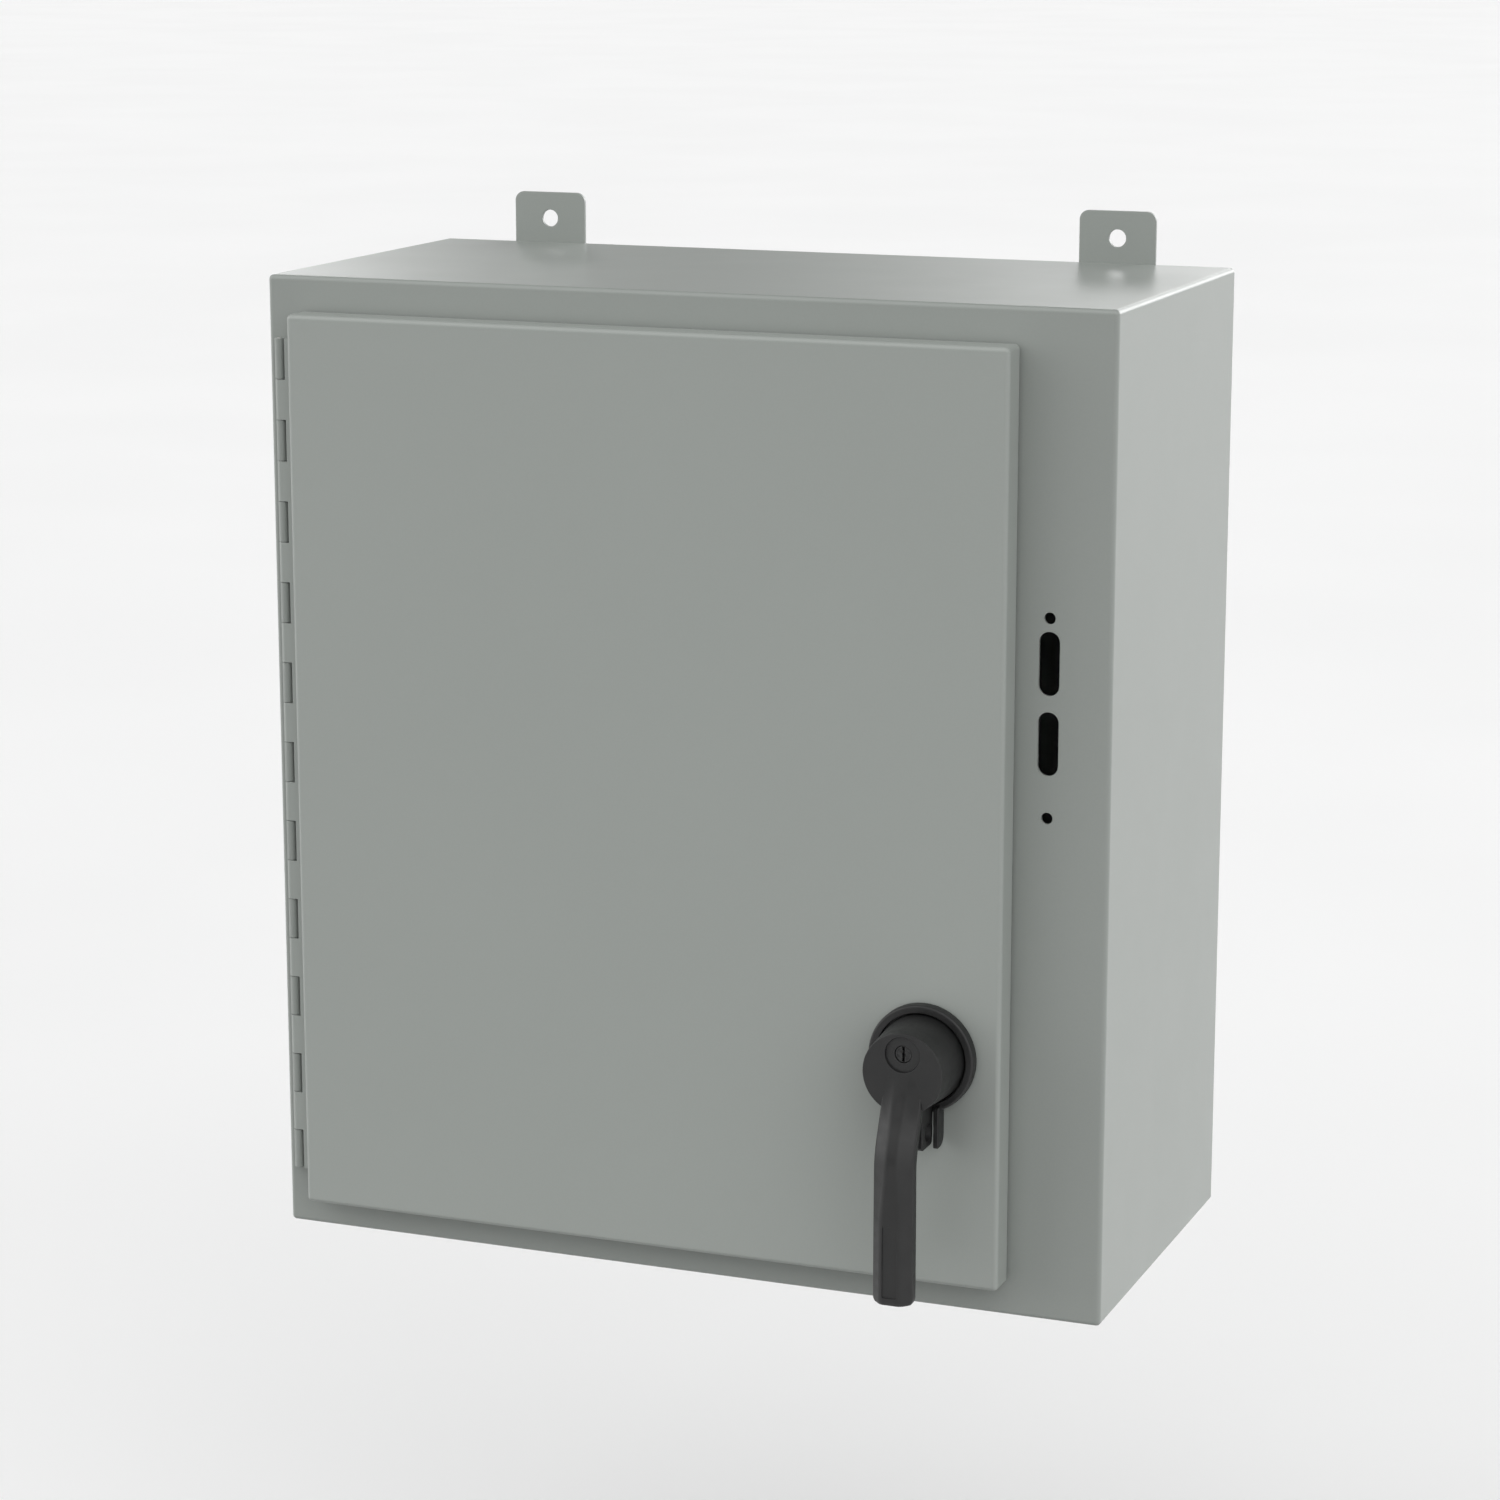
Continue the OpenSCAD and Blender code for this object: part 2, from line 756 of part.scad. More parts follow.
// A latch rod about the handle's axis, with its roller's middle at roller_z above the axis.
module latch_rod_shape(roller_z) {
    bar_top = roller_z + rod_ear_half_h;
    difference() {
        union() {
            block([head_x[0], rod_y[0], cam_pin_offset - head_half_h],
                  [head_x[1], rod_y[1], cam_pin_offset + head_half_h]);
            block([rod_x[0], rod_y[0], cam_pin_offset], [rod_x[1], rod_y[1], bar_top]);
            block([rod_x[0], rod_y[0], roller_z - rod_ear_half_h], [rod_x[0] + rod_ear_t, rod_ear_y, bar_top]);
        }
        block([head_slot_x[0], rod_y[0] - cut_past, cam_pin_offset - head_slot_half_h],
              [head_slot_x[1], rod_y[1] + cut_past, cam_pin_offset + head_slot_half_h]);
        translate([0, roller_y, roller_z]) bar_x(roller_pin_r, rod_x[0] - cut_past, rod_x[0] + rod_ear_t + cut_past);
    }
}

module roller_shape(roller_z) {
    right = rod_x[0] - roller_side_gap;
    translate([0, roller_y, roller_z]) difference() {
        bar_x(roller_r, right - roller_w, right);
        bar_x(roller_pin_r + running_gap, right - roller_w - cut_past, right + cut_past);
    }
}

module roller_pin_shape(roller_z) {
    head_r = 3.8;
    head_t = 1.2;
    left = rod_x[0] - 2 * roller_side_gap - roller_w;
    translate([0, roller_y, roller_z]) {
        bar_x(roller_pin_r, left - head_t, rod_x[0] + rod_ear_t);
        bar_x(head_r, left - head_t, left);
    }
}

// Turns the upper latch's parts half a turn about the handle's axis.
module to_lower() {
    rotate([0, 180, 0]) children();
}

upper_roller_z = body_h - roller_inset - handle_z;
lower_roller_z = handle_z - roller_inset;
upper_guide_z = 316;
lower_guide_z = 74;

module upper_rod_guide() {
    color(plated_steel) from_handle() rod_guide_shape(upper_guide_z);
}

module lower_rod_guide() {
    color(plated_steel) from_handle() to_lower() rod_guide_shape(lower_guide_z);
}

module upper_latch_rod() {
    color(plated_steel) from_handle() latch_rod_shape(upper_roller_z);
}

module lower_latch_rod() {
    color(plated_steel) from_handle() to_lower() latch_rod_shape(lower_roller_z);
}

module upper_roller() {
    color(nylon_white) from_handle() roller_shape(upper_roller_z);
}

module lower_roller() {
    color(nylon_white) from_handle() to_lower() roller_shape(lower_roller_z);
}

module upper_roller_pin() {
    color(plated_steel) from_handle() roller_pin_shape(upper_roller_z);
}

module lower_roller_pin() {
    color(plated_steel) from_handle() to_lower() roller_pin_shape(lower_roller_z);
}

body_wrap();
front_flange();
back_sheet();
wall_foot(0, true);  // upper_left_foot
wall_foot(1, true);  // upper_right_foot
wall_foot(0, false);  // lower_left_foot
wall_foot(1, false);  // lower_right_foot
hinge_body_leaf();
hinge_pin();
collar_studs();
equipment_panel();
panel_washers();
panel_nuts();
body_ground_stud();
body_ground_nut();
door_panel();
hinge_door_leaf();
door_gasket();
gasket_strips();
door_stiffener();
document_pocket();
door_ground_stud();
door_ground_nut();
handle_escutcheon();
escutcheon_gasket();
escutcheon_screws();
shaft_bushing();
upper_rod_guide();
lower_rod_guide();
handle_lever();
handle_shaft();
latch_cam();
cam_pins();
cam_washer();
cam_nut();
key_cylinder();
upper_latch_rod();
upper_roller();
upper_roller_pin();
lower_latch_rod();
lower_roller();
lower_roller_pin();
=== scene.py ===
"""Looks of a wall-mounted sheet steel enclosure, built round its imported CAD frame.

Lengths are in metres. Millimetre values are written as a number times MM.
"""

import json
import math

import bmesh
import bpy
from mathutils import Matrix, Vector


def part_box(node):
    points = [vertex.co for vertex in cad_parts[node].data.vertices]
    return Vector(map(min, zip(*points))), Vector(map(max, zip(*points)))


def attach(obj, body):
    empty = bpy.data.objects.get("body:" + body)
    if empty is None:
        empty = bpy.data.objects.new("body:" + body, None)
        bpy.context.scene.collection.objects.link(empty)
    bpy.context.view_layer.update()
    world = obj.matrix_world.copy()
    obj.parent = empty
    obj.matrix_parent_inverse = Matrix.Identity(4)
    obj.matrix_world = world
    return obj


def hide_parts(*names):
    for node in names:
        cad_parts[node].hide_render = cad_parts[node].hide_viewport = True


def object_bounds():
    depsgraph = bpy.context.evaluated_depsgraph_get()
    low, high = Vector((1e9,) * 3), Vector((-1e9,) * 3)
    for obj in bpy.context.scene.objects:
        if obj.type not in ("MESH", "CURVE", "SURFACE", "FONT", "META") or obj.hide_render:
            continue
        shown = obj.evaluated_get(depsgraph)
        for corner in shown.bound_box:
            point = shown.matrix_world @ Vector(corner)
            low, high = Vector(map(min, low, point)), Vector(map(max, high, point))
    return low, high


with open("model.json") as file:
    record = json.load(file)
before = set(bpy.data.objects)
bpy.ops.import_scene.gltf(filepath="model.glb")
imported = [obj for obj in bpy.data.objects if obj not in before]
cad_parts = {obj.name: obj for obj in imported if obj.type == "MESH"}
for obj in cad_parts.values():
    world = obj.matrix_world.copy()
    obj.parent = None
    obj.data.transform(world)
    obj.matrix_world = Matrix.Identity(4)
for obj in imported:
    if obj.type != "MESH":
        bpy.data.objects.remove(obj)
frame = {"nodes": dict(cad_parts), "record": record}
cad_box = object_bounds()

MM = 0.001

# ---- Sizes that the finished surfaces share ----

SHEET_T = 1.9 * MM
BEND_R = 3 * MM
LIP_FILLET = 1.2 * MM
LIP_CORNER_R = 4 * MM
GASKET_W = 14 * MM
TINY_R = 0.15 * MM
BORE_GAP = 0.1 * MM
SHAFT_BORE_R = 11.1 * MM
CUT_PAST = 1 * MM
WELD_DIST = 0.001 * MM

CORNER_STEPS = 6
BEND_STEPS = 5
FOOT_CORNER_STEPS = 10
SLOT_END_STEPS = 14
EDGE_STEPS = 4
ROUND_STEPS = 72
SMALL_ROUND_STEPS = 40
FINE_ROUND_STEPS = 96


# ---- Places taken from the frame ----

def box_of(name):
    """The lowest and highest corner of a CAD node."""
    low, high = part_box(name)
    return Vector(low), Vector(high)


def rect_of(name):
    """A CAD node's outline seen from the front, as (x0, z0, x1, z1)."""
    low, high = box_of(name)
    return low.x, low.z, high.x, high.z


def centre_of(name):
    """The middle of a CAD node's box."""
    low, high = box_of(name)
    return (low + high) / 2


FACE_Y = box_of("hinge_body_leaf")[1].y
BACK_Y = box_of("body_wrap")[1].y
AXIS = centre_of("handle_shaft")


# ---- Outlines ----

def arc(cx, cy, radius, start, end, steps):
    """Points on an arc, with both ends, from one angle in degrees to another."""
    angles = [math.radians(start + (end - start) * i / steps) for i in range(steps + 1)]
    return [(cx + radius * math.cos(a), cy + radius * math.sin(a)) for a in angles]


def rounded_rect(x0, y0, x1, y1, radius, steps=CORNER_STEPS):
    """A rectangle's outline with round corners, anticlockwise."""
    r = max(radius, TINY_R)
    corners = ((x1 - r, y0 + r, -90), (x1 - r, y1 - r, 0), (x0 + r, y1 - r, 90), (x0 + r, y0 + r, 180))
    return [p for cx, cy, turn in corners for p in arc(cx, cy, r, turn, turn + 90, steps)]


def circle(cx, cy, radius, steps=ROUND_STEPS):
    """Points on a full circle."""
    return arc(cx, cy, radius, 0, 360, steps)[:-1]


def filleted(corners, radii, steps=3):
    """A polygon's outline with rounded corners. radii is one radius, or one for each corner."""
    points = []
    for i, corner in enumerate(corners):
        here = Vector(corner)
        radius = radii if isinstance(radii, float) else radii[i]
        before = (Vector(corners[i - 1]) - here).normalized()
        after = (Vector(corners[(i + 1) % len(corners)]) - here).normalized()
        half = before.angle(after) / 2
        middle = here + (before + after).normalized() * radius / math.sin(half)
        first = here + before * radius / math.tan(half) - middle
        last = here + after * radius / math.tan(half) - middle
        start = math.degrees(math.atan2(first.y, first.x))
        sweep = math.degrees(math.atan2(first.x * last.y - first.y * last.x, first.dot(last)))
        points += arc(middle.x, middle.y, radius, start, start + sweep, steps)
    return points


def in_xz(outline, y):
    """A flat outline as a ring of points at one depth."""
    return [Vector((a, y, b)) for a, b in outline]


def in_xy(outline, z):
    """A flat outline as a ring of points at one height."""
    return [Vector((a, b, z)) for a, b in outline]


def in_yz(outline, x):
    """A flat outline as a ring of points at one width."""
    return [Vector((x, a, b)) for a, b in outline]


# ---- Meshes ----

def mesh_object(name, bm):
    """Makes an object from a bmesh, with its faces turned outwards, and frees the bmesh."""
    bmesh.ops.recalc_face_normals(bm, faces=bm.faces)
    mesh = bpy.data.meshes.new(name)
    bm.to_mesh(mesh)
    bm.free()
    made = bpy.data.objects.new(name, mesh)
    bpy.context.scene.collection.objects.link(made)
    return made


def skin(bm, rings, closed=False):
    """Joins rings of equally many points into a closed solid. An open row of rings gets two caps."""
    loops = [[bm.verts.new(p) for p in ring] for ring in rings]
    pairs = list(zip(loops, loops[1:]))
    if closed:
        pairs.append((loops[-1], loops[0]))
    for a, b in pairs:
        for i in range(len(a)):
            j = (i + 1) % len(a)
            bm.faces.new((a[i], a[j], b[j], b[i]))
    if not closed:
        bm.faces.new(loops[0][::-1])
        bm.faces.new(loops[-1])


def solid(name, rings, closed=False):
    """An object whose surface is the skin over rings of points."""
    bm = bmesh.new()
    skin(bm, rings, closed)
    return mesh_object(name, bm)


def baked(obj):
    """Replaces an object's mesh by the result of its modifiers."""
    bpy.context.view_layer.update()
    result = obj.evaluated_get(bpy.context.evaluated_depsgraph_get())
    mesh = bpy.data.meshes.new_from_object(result)
    obj.modifiers.clear()
    obj.data = mesh
    return obj


def combined(obj, tools, operation):
    """Adds closed solids to an object, or cuts them from it, and removes them."""
    for tool in tools:
        step = obj.modifiers.new("combine", "BOOLEAN")
        step.operation = operation
        step.solver = "EXACT"
        step.object = tool
        baked(obj)
        bpy.data.objects.remove(tool)
    return obj


def cut(obj, *tools):
    """Cuts closed solids from an object."""
    return combined(obj, tools, "DIFFERENCE")


def joined(obj, *tools):
    """Adds closed solids to an object."""
    return combined(obj, tools, "UNION")


def eased(obj, width, steps=2, angle=35):
    """Rounds an object's sharp edges a little."""
    step = obj.modifiers.new("ease", "BEVEL")
    step.width = width
    step.segments = steps
    step.limit_method = "ANGLE"
    step.angle_limit = math.radians(angle)
    step.use_clamp_overlap = True
    return baked(obj)


def smoothed(obj, angle=40):
    """Shades an object smooth, keeps its sharp edges and lets its large faces set the normals."""
    obj.data.shade_smooth()
    obj.data.set_sharp_from_angle(angle=math.radians(angle))
    step = obj.modifiers.new("normals", "WEIGHTED_NORMAL")
    step.keep_sharp = True
    return obj


def prism(name, ring_of, outline, start, end):
    """An outline made solid between two planes. ring_of places it: in_xz, in_xy or in_yz."""
    return solid(name, [ring_of(outline, start), ring_of(outline, end)])


def block(name, low, high):
    """A box between two corners."""
    outline = [(low[0], low[2]), (high[0], low[2]), (high[0], high[2]), (low[0], high[2])]
    return prism(name, in_xz, outline, low[1], high[1])


def turned(name, profile, centre, axis="y", steps=ROUND_STEPS, closed=False):
    """A solid of revolution. profile is a row of (radius, place along the axis)."""
    if axis == "y":
        rings = [in_xz(circle(centre.x, centre.z, r, steps), p) for r, p in profile]
    elif axis == "z":
        rings = [in_xy(circle(centre.x, centre.y, r, steps), p) for r, p in profile]
    else:
        rings = [in_yz(circle(centre.y, centre.z, r, steps), p) for r, p in profile]
    return solid(name, rings, closed)


def fine_copy(node, width=0.25 * MM, steps=2):
    """A CAD node's shape with its edges eased, as a new object."""
    bm = bmesh.new()
    bm.from_mesh(frame["nodes"][node].data)
    bmesh.ops.remove_doubles(bm, verts=bm.verts, dist=WELD_DIST)
    bmesh.ops.dissolve_limit(bm, angle_limit=math.radians(0.5), verts=bm.verts, edges=bm.edges)
    return eased(mesh_object(node + "_finish", bm), width, steps)


# ---- Materials ----

class Shader:
    """One procedural material, written node by node."""

    def __init__(self, name, **sockets):
        self.material = bpy.data.materials.new(name)
        self.material.use_nodes = True
        self.tree = self.material.node_tree
        self.surface = self.tree.nodes["Principled BSDF"]
        self.place = self.node("ShaderNodeTexCoord").outputs["Object"]
        for socket, value in sockets.items():
            self.surface.inputs[socket.replace("_", " ")].default_value = value

    def node(self, kind, **settings):
        made = self.tree.nodes.new(kind)
        for setting, value in settings.items():
            setattr(made, setting, value)
        return made

    def link(self, source, target):
        self.tree.links.new(source, target)

    def noise(self, size, detail=2.0, stretch=(1, 1, 1)):
        """Soft noise whose features are about size metres across."""
        place = self.node("ShaderNodeMapping")
        place.inputs["Scale"].default_value = stretch
        self.link(self.place, place.inputs["Vector"])
        made = self.node("ShaderNodeTexNoise")
        made.inputs["Scale"].default_value = 1 / size
        made.inputs["Detail"].default_value = detail
        self.link(place.outputs["Vector"], made.inputs["Vector"])
        return made.outputs["Fac"]

    def cells(self, size):
        made = self.node("ShaderNodeTexVoronoi")
        made.inputs["Scale"].default_value = 1 / size
        self.link(self.place, made.inputs["Vector"])
        return made.outputs["Distance"]

    def span(self, value, start, end, low=0.35, high=0.65):
        made = self.node("ShaderNodeMapRange")
        made.inputs["From Min"].default_value = low
        made.inputs["From Max"].default_value = high
        made.inputs["To Min"].default_value = start
        made.inputs["To Max"].default_value = end
        self.link(value, made.inputs["Value"])
        return made.outputs["Result"]

    def times(self, a, b):
        made = self.node("ShaderNodeMath", operation="MULTIPLY")
        self.link(a, made.inputs[0])
        self.link(b, made.inputs[1])
        return made.outputs[0]

    def blend(self, factor, first, second):
        """Mixes two colours. The first may be a colour or another node's output."""
        made = self.node("ShaderNodeMix", data_type="RGBA")
        self.link(factor, made.inputs["Factor"])
        if isinstance(first, tuple):
            made.inputs["A"].default_value = first
        else:
            self.link(first, made.inputs["A"])
        made.inputs["B"].default_value = second
        return made.outputs["Result"]

    def edges(self, radius, patch_size):
        """A mask of the edges that the materials lighten, a painted highlight: 1 on an edge and 0 on a flat
        face, broken up in patches.
        """
        rounded = self.node("ShaderNodeBevel", samples=4)
        rounded.inputs["Radius"].default_value = radius
        true = self.node("ShaderNodeNewGeometry").outputs["Normal"]
        dot = self.node("ShaderNodeVectorMath", operation="DOT_PRODUCT")
        self.link(rounded.outputs["Normal"], dot.inputs[0])
        self.link(true, dot.inputs[1])
        mask = self.span(dot.outputs["Value"], 1, 0, 0.75, 0.97)
        return self.times(mask, self.span(self.noise(patch_size, 3), 0, 1, 0.4, 0.7))

    def bump(self, *layers):
        """Adds bumps, each given as (height, depth in metres, strength)."""
        normal = None
        for height, depth, strength in layers:
            made = self.node("ShaderNodeBump")
            made.inputs["Distance"].default_value = depth
            made.inputs["Strength"].default_value = strength
            self.link(height, made.inputs["Height"])
            if normal:
                self.link(normal, made.inputs["Normal"])
            normal = made.outputs["Normal"]
        self.link(normal, self.surface.inputs["Normal"])

    def colour(self, source):
        self.link(source, self.surface.inputs["Base Color"])

    def roughness(self, source):
        self.link(source, self.surface.inputs["Roughness"])


def grey(level, tint=(1, 1, 1)):
    """A grey of the given brightness, with a faint tint."""
    return (level * tint[0], level * tint[1], level * tint[2], 1)


def powder_coat(name, base, light, fleck_and_highlight, roughness):
    """Powder coat: orange peel, a faint cloudiness, and lighter edges, a painted highlight along the bends.
    """
    s = Shader(name, IOR=1.5)
    cloud = s.noise(140 * MM, 2)
    fleck = s.noise(1.1 * MM, 2)
    body = s.blend(s.span(cloud, 0, 1), base, light)
    flecked = s.blend(s.span(fleck, 0, 0.06), body, fleck_and_highlight)
    # Lighter colour on the edges and bends: a painted highlight.
    s.colour(s.blend(s.span(s.edges(0.8 * MM, 14 * MM), 0, 0.3, 0, 1), flecked, fleck_and_highlight))
    s.roughness(s.span(s.noise(60 * MM, 3), roughness - 0.01, roughness + 0.02))
    s.bump((s.noise(2.4 * MM, 1), 0.02 * MM, 0.5), (s.noise(0.7 * MM, 2), 0.008 * MM, 0.4))
    return s.material


def zinc_plate(name):
    """Bright zinc plate: faint yellow and blue clouds, fine scratches, and a painted highlight on its edges.
    """
    s = Shader(name, Metallic=1.0)
    blue, yellow = grey(0.6, (1, 1, 1.02)), grey(0.66, (1.02, 1, 0.95))
    cloud = s.blend(s.span(s.noise(9 * MM, 3), 0, 1), blue, yellow)
    # Lighter colour on the edges: a painted highlight.
    s.colour(s.blend(s.span(s.edges(0.4 * MM, 5 * MM), 0, 0.6, 0, 1), cloud, grey(0.8)))
    s.roughness(s.span(s.noise(3 * MM, 4), 0.28, 0.46))
    s.bump((s.noise(1.2 * MM, 3, (1, 6, 1)), 0.01 * MM, 0.5), (s.noise(0.4 * MM, 2), 0.006 * MM, 0.4))
    return s.material


def foam_rubber(name):
    """Closed cell foam: small pits and a dusty bloom."""
    s = Shader(name)
    s.colour(s.blend(s.span(s.noise(5 * MM, 4), 0, 1), grey(0.012), grey(0.035)))
    s.roughness(s.span(s.noise(1.5 * MM, 3), 0.75, 0.95))
    s.bump((s.cells(0.8 * MM), 0.12 * MM, 0.7), (s.noise(2.5 * MM, 2), 0.08 * MM, 0.4))
    return s.material


def handle_nylon(name):
    """Black glass-filled nylon: fine spark texture, faint fibre clouds and lighter edges, a painted
    highlight.
    """
    s = Shader(name, IOR=1.5)
    cloud = s.blend(s.span(s.noise(12 * MM, 4), 0, 1), grey(0.009, (0.97, 1, 1)), grey(0.013))
    # Lighter colour on the edges: a painted highlight.
    s.colour(s.blend(s.span(s.edges(0.6 * MM, 9 * MM), 0, 0.7, 0, 1), cloud, grey(0.06)))
    s.roughness(s.span(s.noise(6 * MM, 3), 0.4, 0.5))
    s.bump((s.noise(0.55 * MM, 2), 0.02 * MM, 0.5), (s.noise(4 * MM, 2), 0.02 * MM, 0.2))
    return s.material


def moulded_plastic(name, dark, light, roughness):
    """Plain moulded plastic with faint flow clouds."""
    s = Shader(name, IOR=1.48)
    flow = s.noise(60 * MM, 2, (1, 1, 0.6))
    s.colour(s.blend(s.span(flow, 0, 1), dark, light))
    s.roughness(s.span(s.noise(15 * MM, 3), roughness - 0.05, roughness + 0.07))
    s.bump((s.noise(0.9 * MM, 2), 0.012 * MM, 0.4), (s.noise(8 * MM, 1), 0.03 * MM, 0.2))
    return s.material


def blackened_metal(name):
    """Blackened die-cast zinc with lighter edges: bare metal wear and a painted highlight."""
    s = Shader(name, Metallic=0.85)
    cloud = s.blend(s.span(s.noise(2.5 * MM, 3), 0, 1), grey(0.035), grey(0.06))
    # Lighter colour on the edges: bare metal wear and a painted highlight.
    s.colour(s.blend(s.span(s.edges(0.35 * MM, 2 * MM), 0, 0.8, 0, 1), cloud, grey(0.3)))
    s.roughness(s.span(s.noise(1.5 * MM, 3), 0.35, 0.5))
    s.bump((s.noise(0.5 * MM, 2), 0.01 * MM, 0.5))
    return s.material


# The grey paint's faint green, and the warm tints of the plastics
GREEN_GREY = (0.97, 1.04, 0.98)
IVORY = (1, 1, 0.97)
WARM_WHITE = (1, 0.98, 0.9)
PALE_WARM_WHITE = (1, 0.99, 0.93)

# One material for each slot of the record. The body's share of the grey paint slot is a darker copy of it:
# painted shade that sets the body darker than the door.
MATERIALS = {
    "grey_paint": powder_coat("grey_paint", grey(0.378, GREEN_GREY), grey(0.382, GREEN_GREY),
                              grey(0.5), 0.33),
    "shaded_body_paint": powder_coat("shaded_body_paint", grey(0.335, GREEN_GREY), grey(0.339, GREEN_GREY),
                              grey(0.45), 0.33),
    "white_paint": powder_coat("white_paint", grey(0.8), grey(0.84), grey(0.9), 0.35),
    "zinc_steel": zinc_plate("zinc_steel"),
    "gasket_rubber": foam_rubber("gasket_rubber"),
    "handle_plastic": handle_nylon("handle_plastic"),
    "pocket_plastic": moulded_plastic("pocket_plastic", grey(0.52), grey(0.545, IVORY), 0.42),
    "roller_nylon": moulded_plastic("roller_nylon", grey(0.74, WARM_WHITE), grey(0.8, PALE_WARM_WHITE), 0.45),
    "lock_metal": blackened_metal("lock_metal"),
}


def dress(obj, look):
    """Gives an object one of the materials."""
    if not obj.material_slots:
        obj.data.materials.append(MATERIALS[look])
    for held in obj.material_slots:
        held.material = MATERIALS[look]


def fit(obj, body, slot, *nodes):
    """Finishes a piece: its shading, its material, the body it rides on and the nodes it stands for."""
    # The enclosure's grey painted pieces take the darker copy of the paint: painted shade.
    on_body = (body, slot) == ("enclosure", "grey_paint")
    smoothed(obj)
    dress(obj, "shaded_body_paint" if on_body else slot)
    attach(obj, body)
    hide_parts(*nodes)
    return obj


# ---- Body ----

def nested(rect, grow, radius, y):
    """A ring of points: a rectangle made larger by grow, with round corners, at depth y."""
    x0, z0, x1, z1 = rect
    return in_xz(rounded_rect(x0 - grow, z0 - grow, x1 + grow, z1 + grow, radius), y)


def bend(rect, face_y, outer_r, radius, back=False):
    """The rings of a sheet's bend, from a side face to the front face. back reverses them."""
    rings = []
    for i in range(BEND_STEPS + 1):
        a = math.pi / 2 * i / BEND_STEPS
        rings.append(nested(rect, radius * math.cos(a) - outer_r, radius * math.cos(a),
                            face_y + outer_r - radius * math.sin(a)))
    return rings[::-1] if back else rings


def opening_rect():
    """The opening inside the rolled lip, which runs along the middle of the gasket."""
    x0, z0, x1, z1 = rect_of("door_gasket")
    inset = (GASKET_W + SHEET_T) / 2
    return x0 + inset, z0 + inset, x1 - inset, z1 - inset


def lip_rings(rect, face_y, front_y):
    """The rolled lip round the opening, from the flange's face over its rim to the flange's back."""
    outer_r = LIP_CORNER_R + SHEET_T
    half_t = SHEET_T / 2
    rings = []
    for i in range(BEND_STEPS + 1):
        a = math.pi / 2 * i / BEND_STEPS
        grow = LIP_FILLET * (1 - math.sin(a))
        rings.append(nested(rect, SHEET_T + grow, outer_r + grow, face_y - LIP_FILLET * (1 - math.cos(a))))
    for i in range(2 * BEND_STEPS + 1):
        a = math.pi * i / (2 * BEND_STEPS)
        grow = half_t + half_t * math.cos(a)
        rings.append(nested(rect, grow, LIP_CORNER_R + grow, front_y + half_t * (1 - math.sin(a))))
    deep_r = LIP_FILLET + SHEET_T
    for i in range(BEND_STEPS + 1):
        a = math.pi / 2 * i / BEND_STEPS
        grow = deep_r * (1 - math.cos(a))
        rings.append(nested(rect, grow, LIP_CORNER_R + grow, face_y - LIP_FILLET + deep_r * math.sin(a)))
    return rings


def mount(name):
    """One of the record's mounts."""
    return next(m for m in frame["record"]["mounts"] if m["name"] == name)


def flange_cutters():
    """Cutters for the operator's slots and screw holes, from the record's mounts."""
    y0, y1 = FACE_Y - CUT_PAST, FACE_Y + BEND_R + CUT_PAST
    slots, screws = mount("operator_slots"), mount("operator_screws")
    tools = []
    for side in (-0.5, 0.5):
        z = slots["pos_m"][2] + side * slots["dims"]["spacing_y_mm"] * MM
        half_w = slots["dims"]["hole_r_mm"] * MM
        half_h = slots["dims"]["slot_length_mm"] * MM / 2
        x = slots["pos_m"][0]
        # A little less than half the width, so that the two end arcs share no point
        end_r = half_w * 0.999
        outline = rounded_rect(x - half_w, z - half_h, x + half_w, z + half_h, end_r, SLOT_END_STEPS)
        tools.append(prism("slot_cutter", in_xz, outline, y0, y1))
        z = screws["pos_m"][2] + side * screws["dims"]["spacing_y_mm"] * MM
        outline = circle(screws["pos_m"][0], z, screws["dims"]["hole_r_mm"] * MM, SMALL_ROUND_STEPS)
        tools.append(prism("screw_cutter", in_xz, outline, y0, y1))
    return tools


def body_shell():
    """The folded body: wrap, front flange and rolled lip in one skin of sheet steel."""
    rect = rect_of("body_wrap")
    inner_r = BEND_R - SHEET_T
    rings = [nested(rect, 0, BEND_R, BACK_Y)]
    rings += bend(rect, FACE_Y, BEND_R, BEND_R)
    rings += lip_rings(opening_rect(), FACE_Y, box_of("front_flange")[0].y)
    rings += bend(rect, FACE_Y, BEND_R, inner_r, back=True)
    rings.append(nested(rect, -SHEET_T, inner_r, BACK_Y))
    shell = cut(solid("body_shell", rings, closed=True), *flange_cutters())
    fit(shell, "enclosure", "grey_paint", "body_wrap", "front_flange")


def back_panel():
    """The back sheet."""
    edge = 0.4 * MM
    fit(fine_copy("back_sheet", edge), "enclosure", "grey_paint", "back_sheet")


def wall_foot(name):
    """A wall foot: a flat plate with its screw hole."""
    low, high = box_of(name)
    corner_r = 6 * MM
    holes = mount("wall_mount")
    x = (low.x + high.x) / 2
    z = math.copysign(holes["dims"]["spacing_y_mm"] * MM / 2, low.z + high.z)
    outline = rounded_rect(low.x, low.z, high.x, high.z, corner_r, FOOT_CORNER_STEPS)
    foot = prism(name + "_plate", in_xz, outline, low.y, high.y)
    hole = circle(x, z, holes["dims"]["hole_r_mm"] * MM, SMALL_ROUND_STEPS)
    cut(foot, prism("hole_cutter", in_xz, hole, low.y - CUT_PAST, high.y + CUT_PAST))
    edge = 0.45 * MM
    fit(eased(foot, edge, 3), "enclosure", "grey_paint", name)


# ---- Hinge ----

KNUCKLES = 21
LEAF_T = 1.5 * MM
NOTCH_GAP = 1.4 * MM
LEAF_END_GAP = 0.3 * MM
KNUCKLE_END_GAP = 0.15 * MM


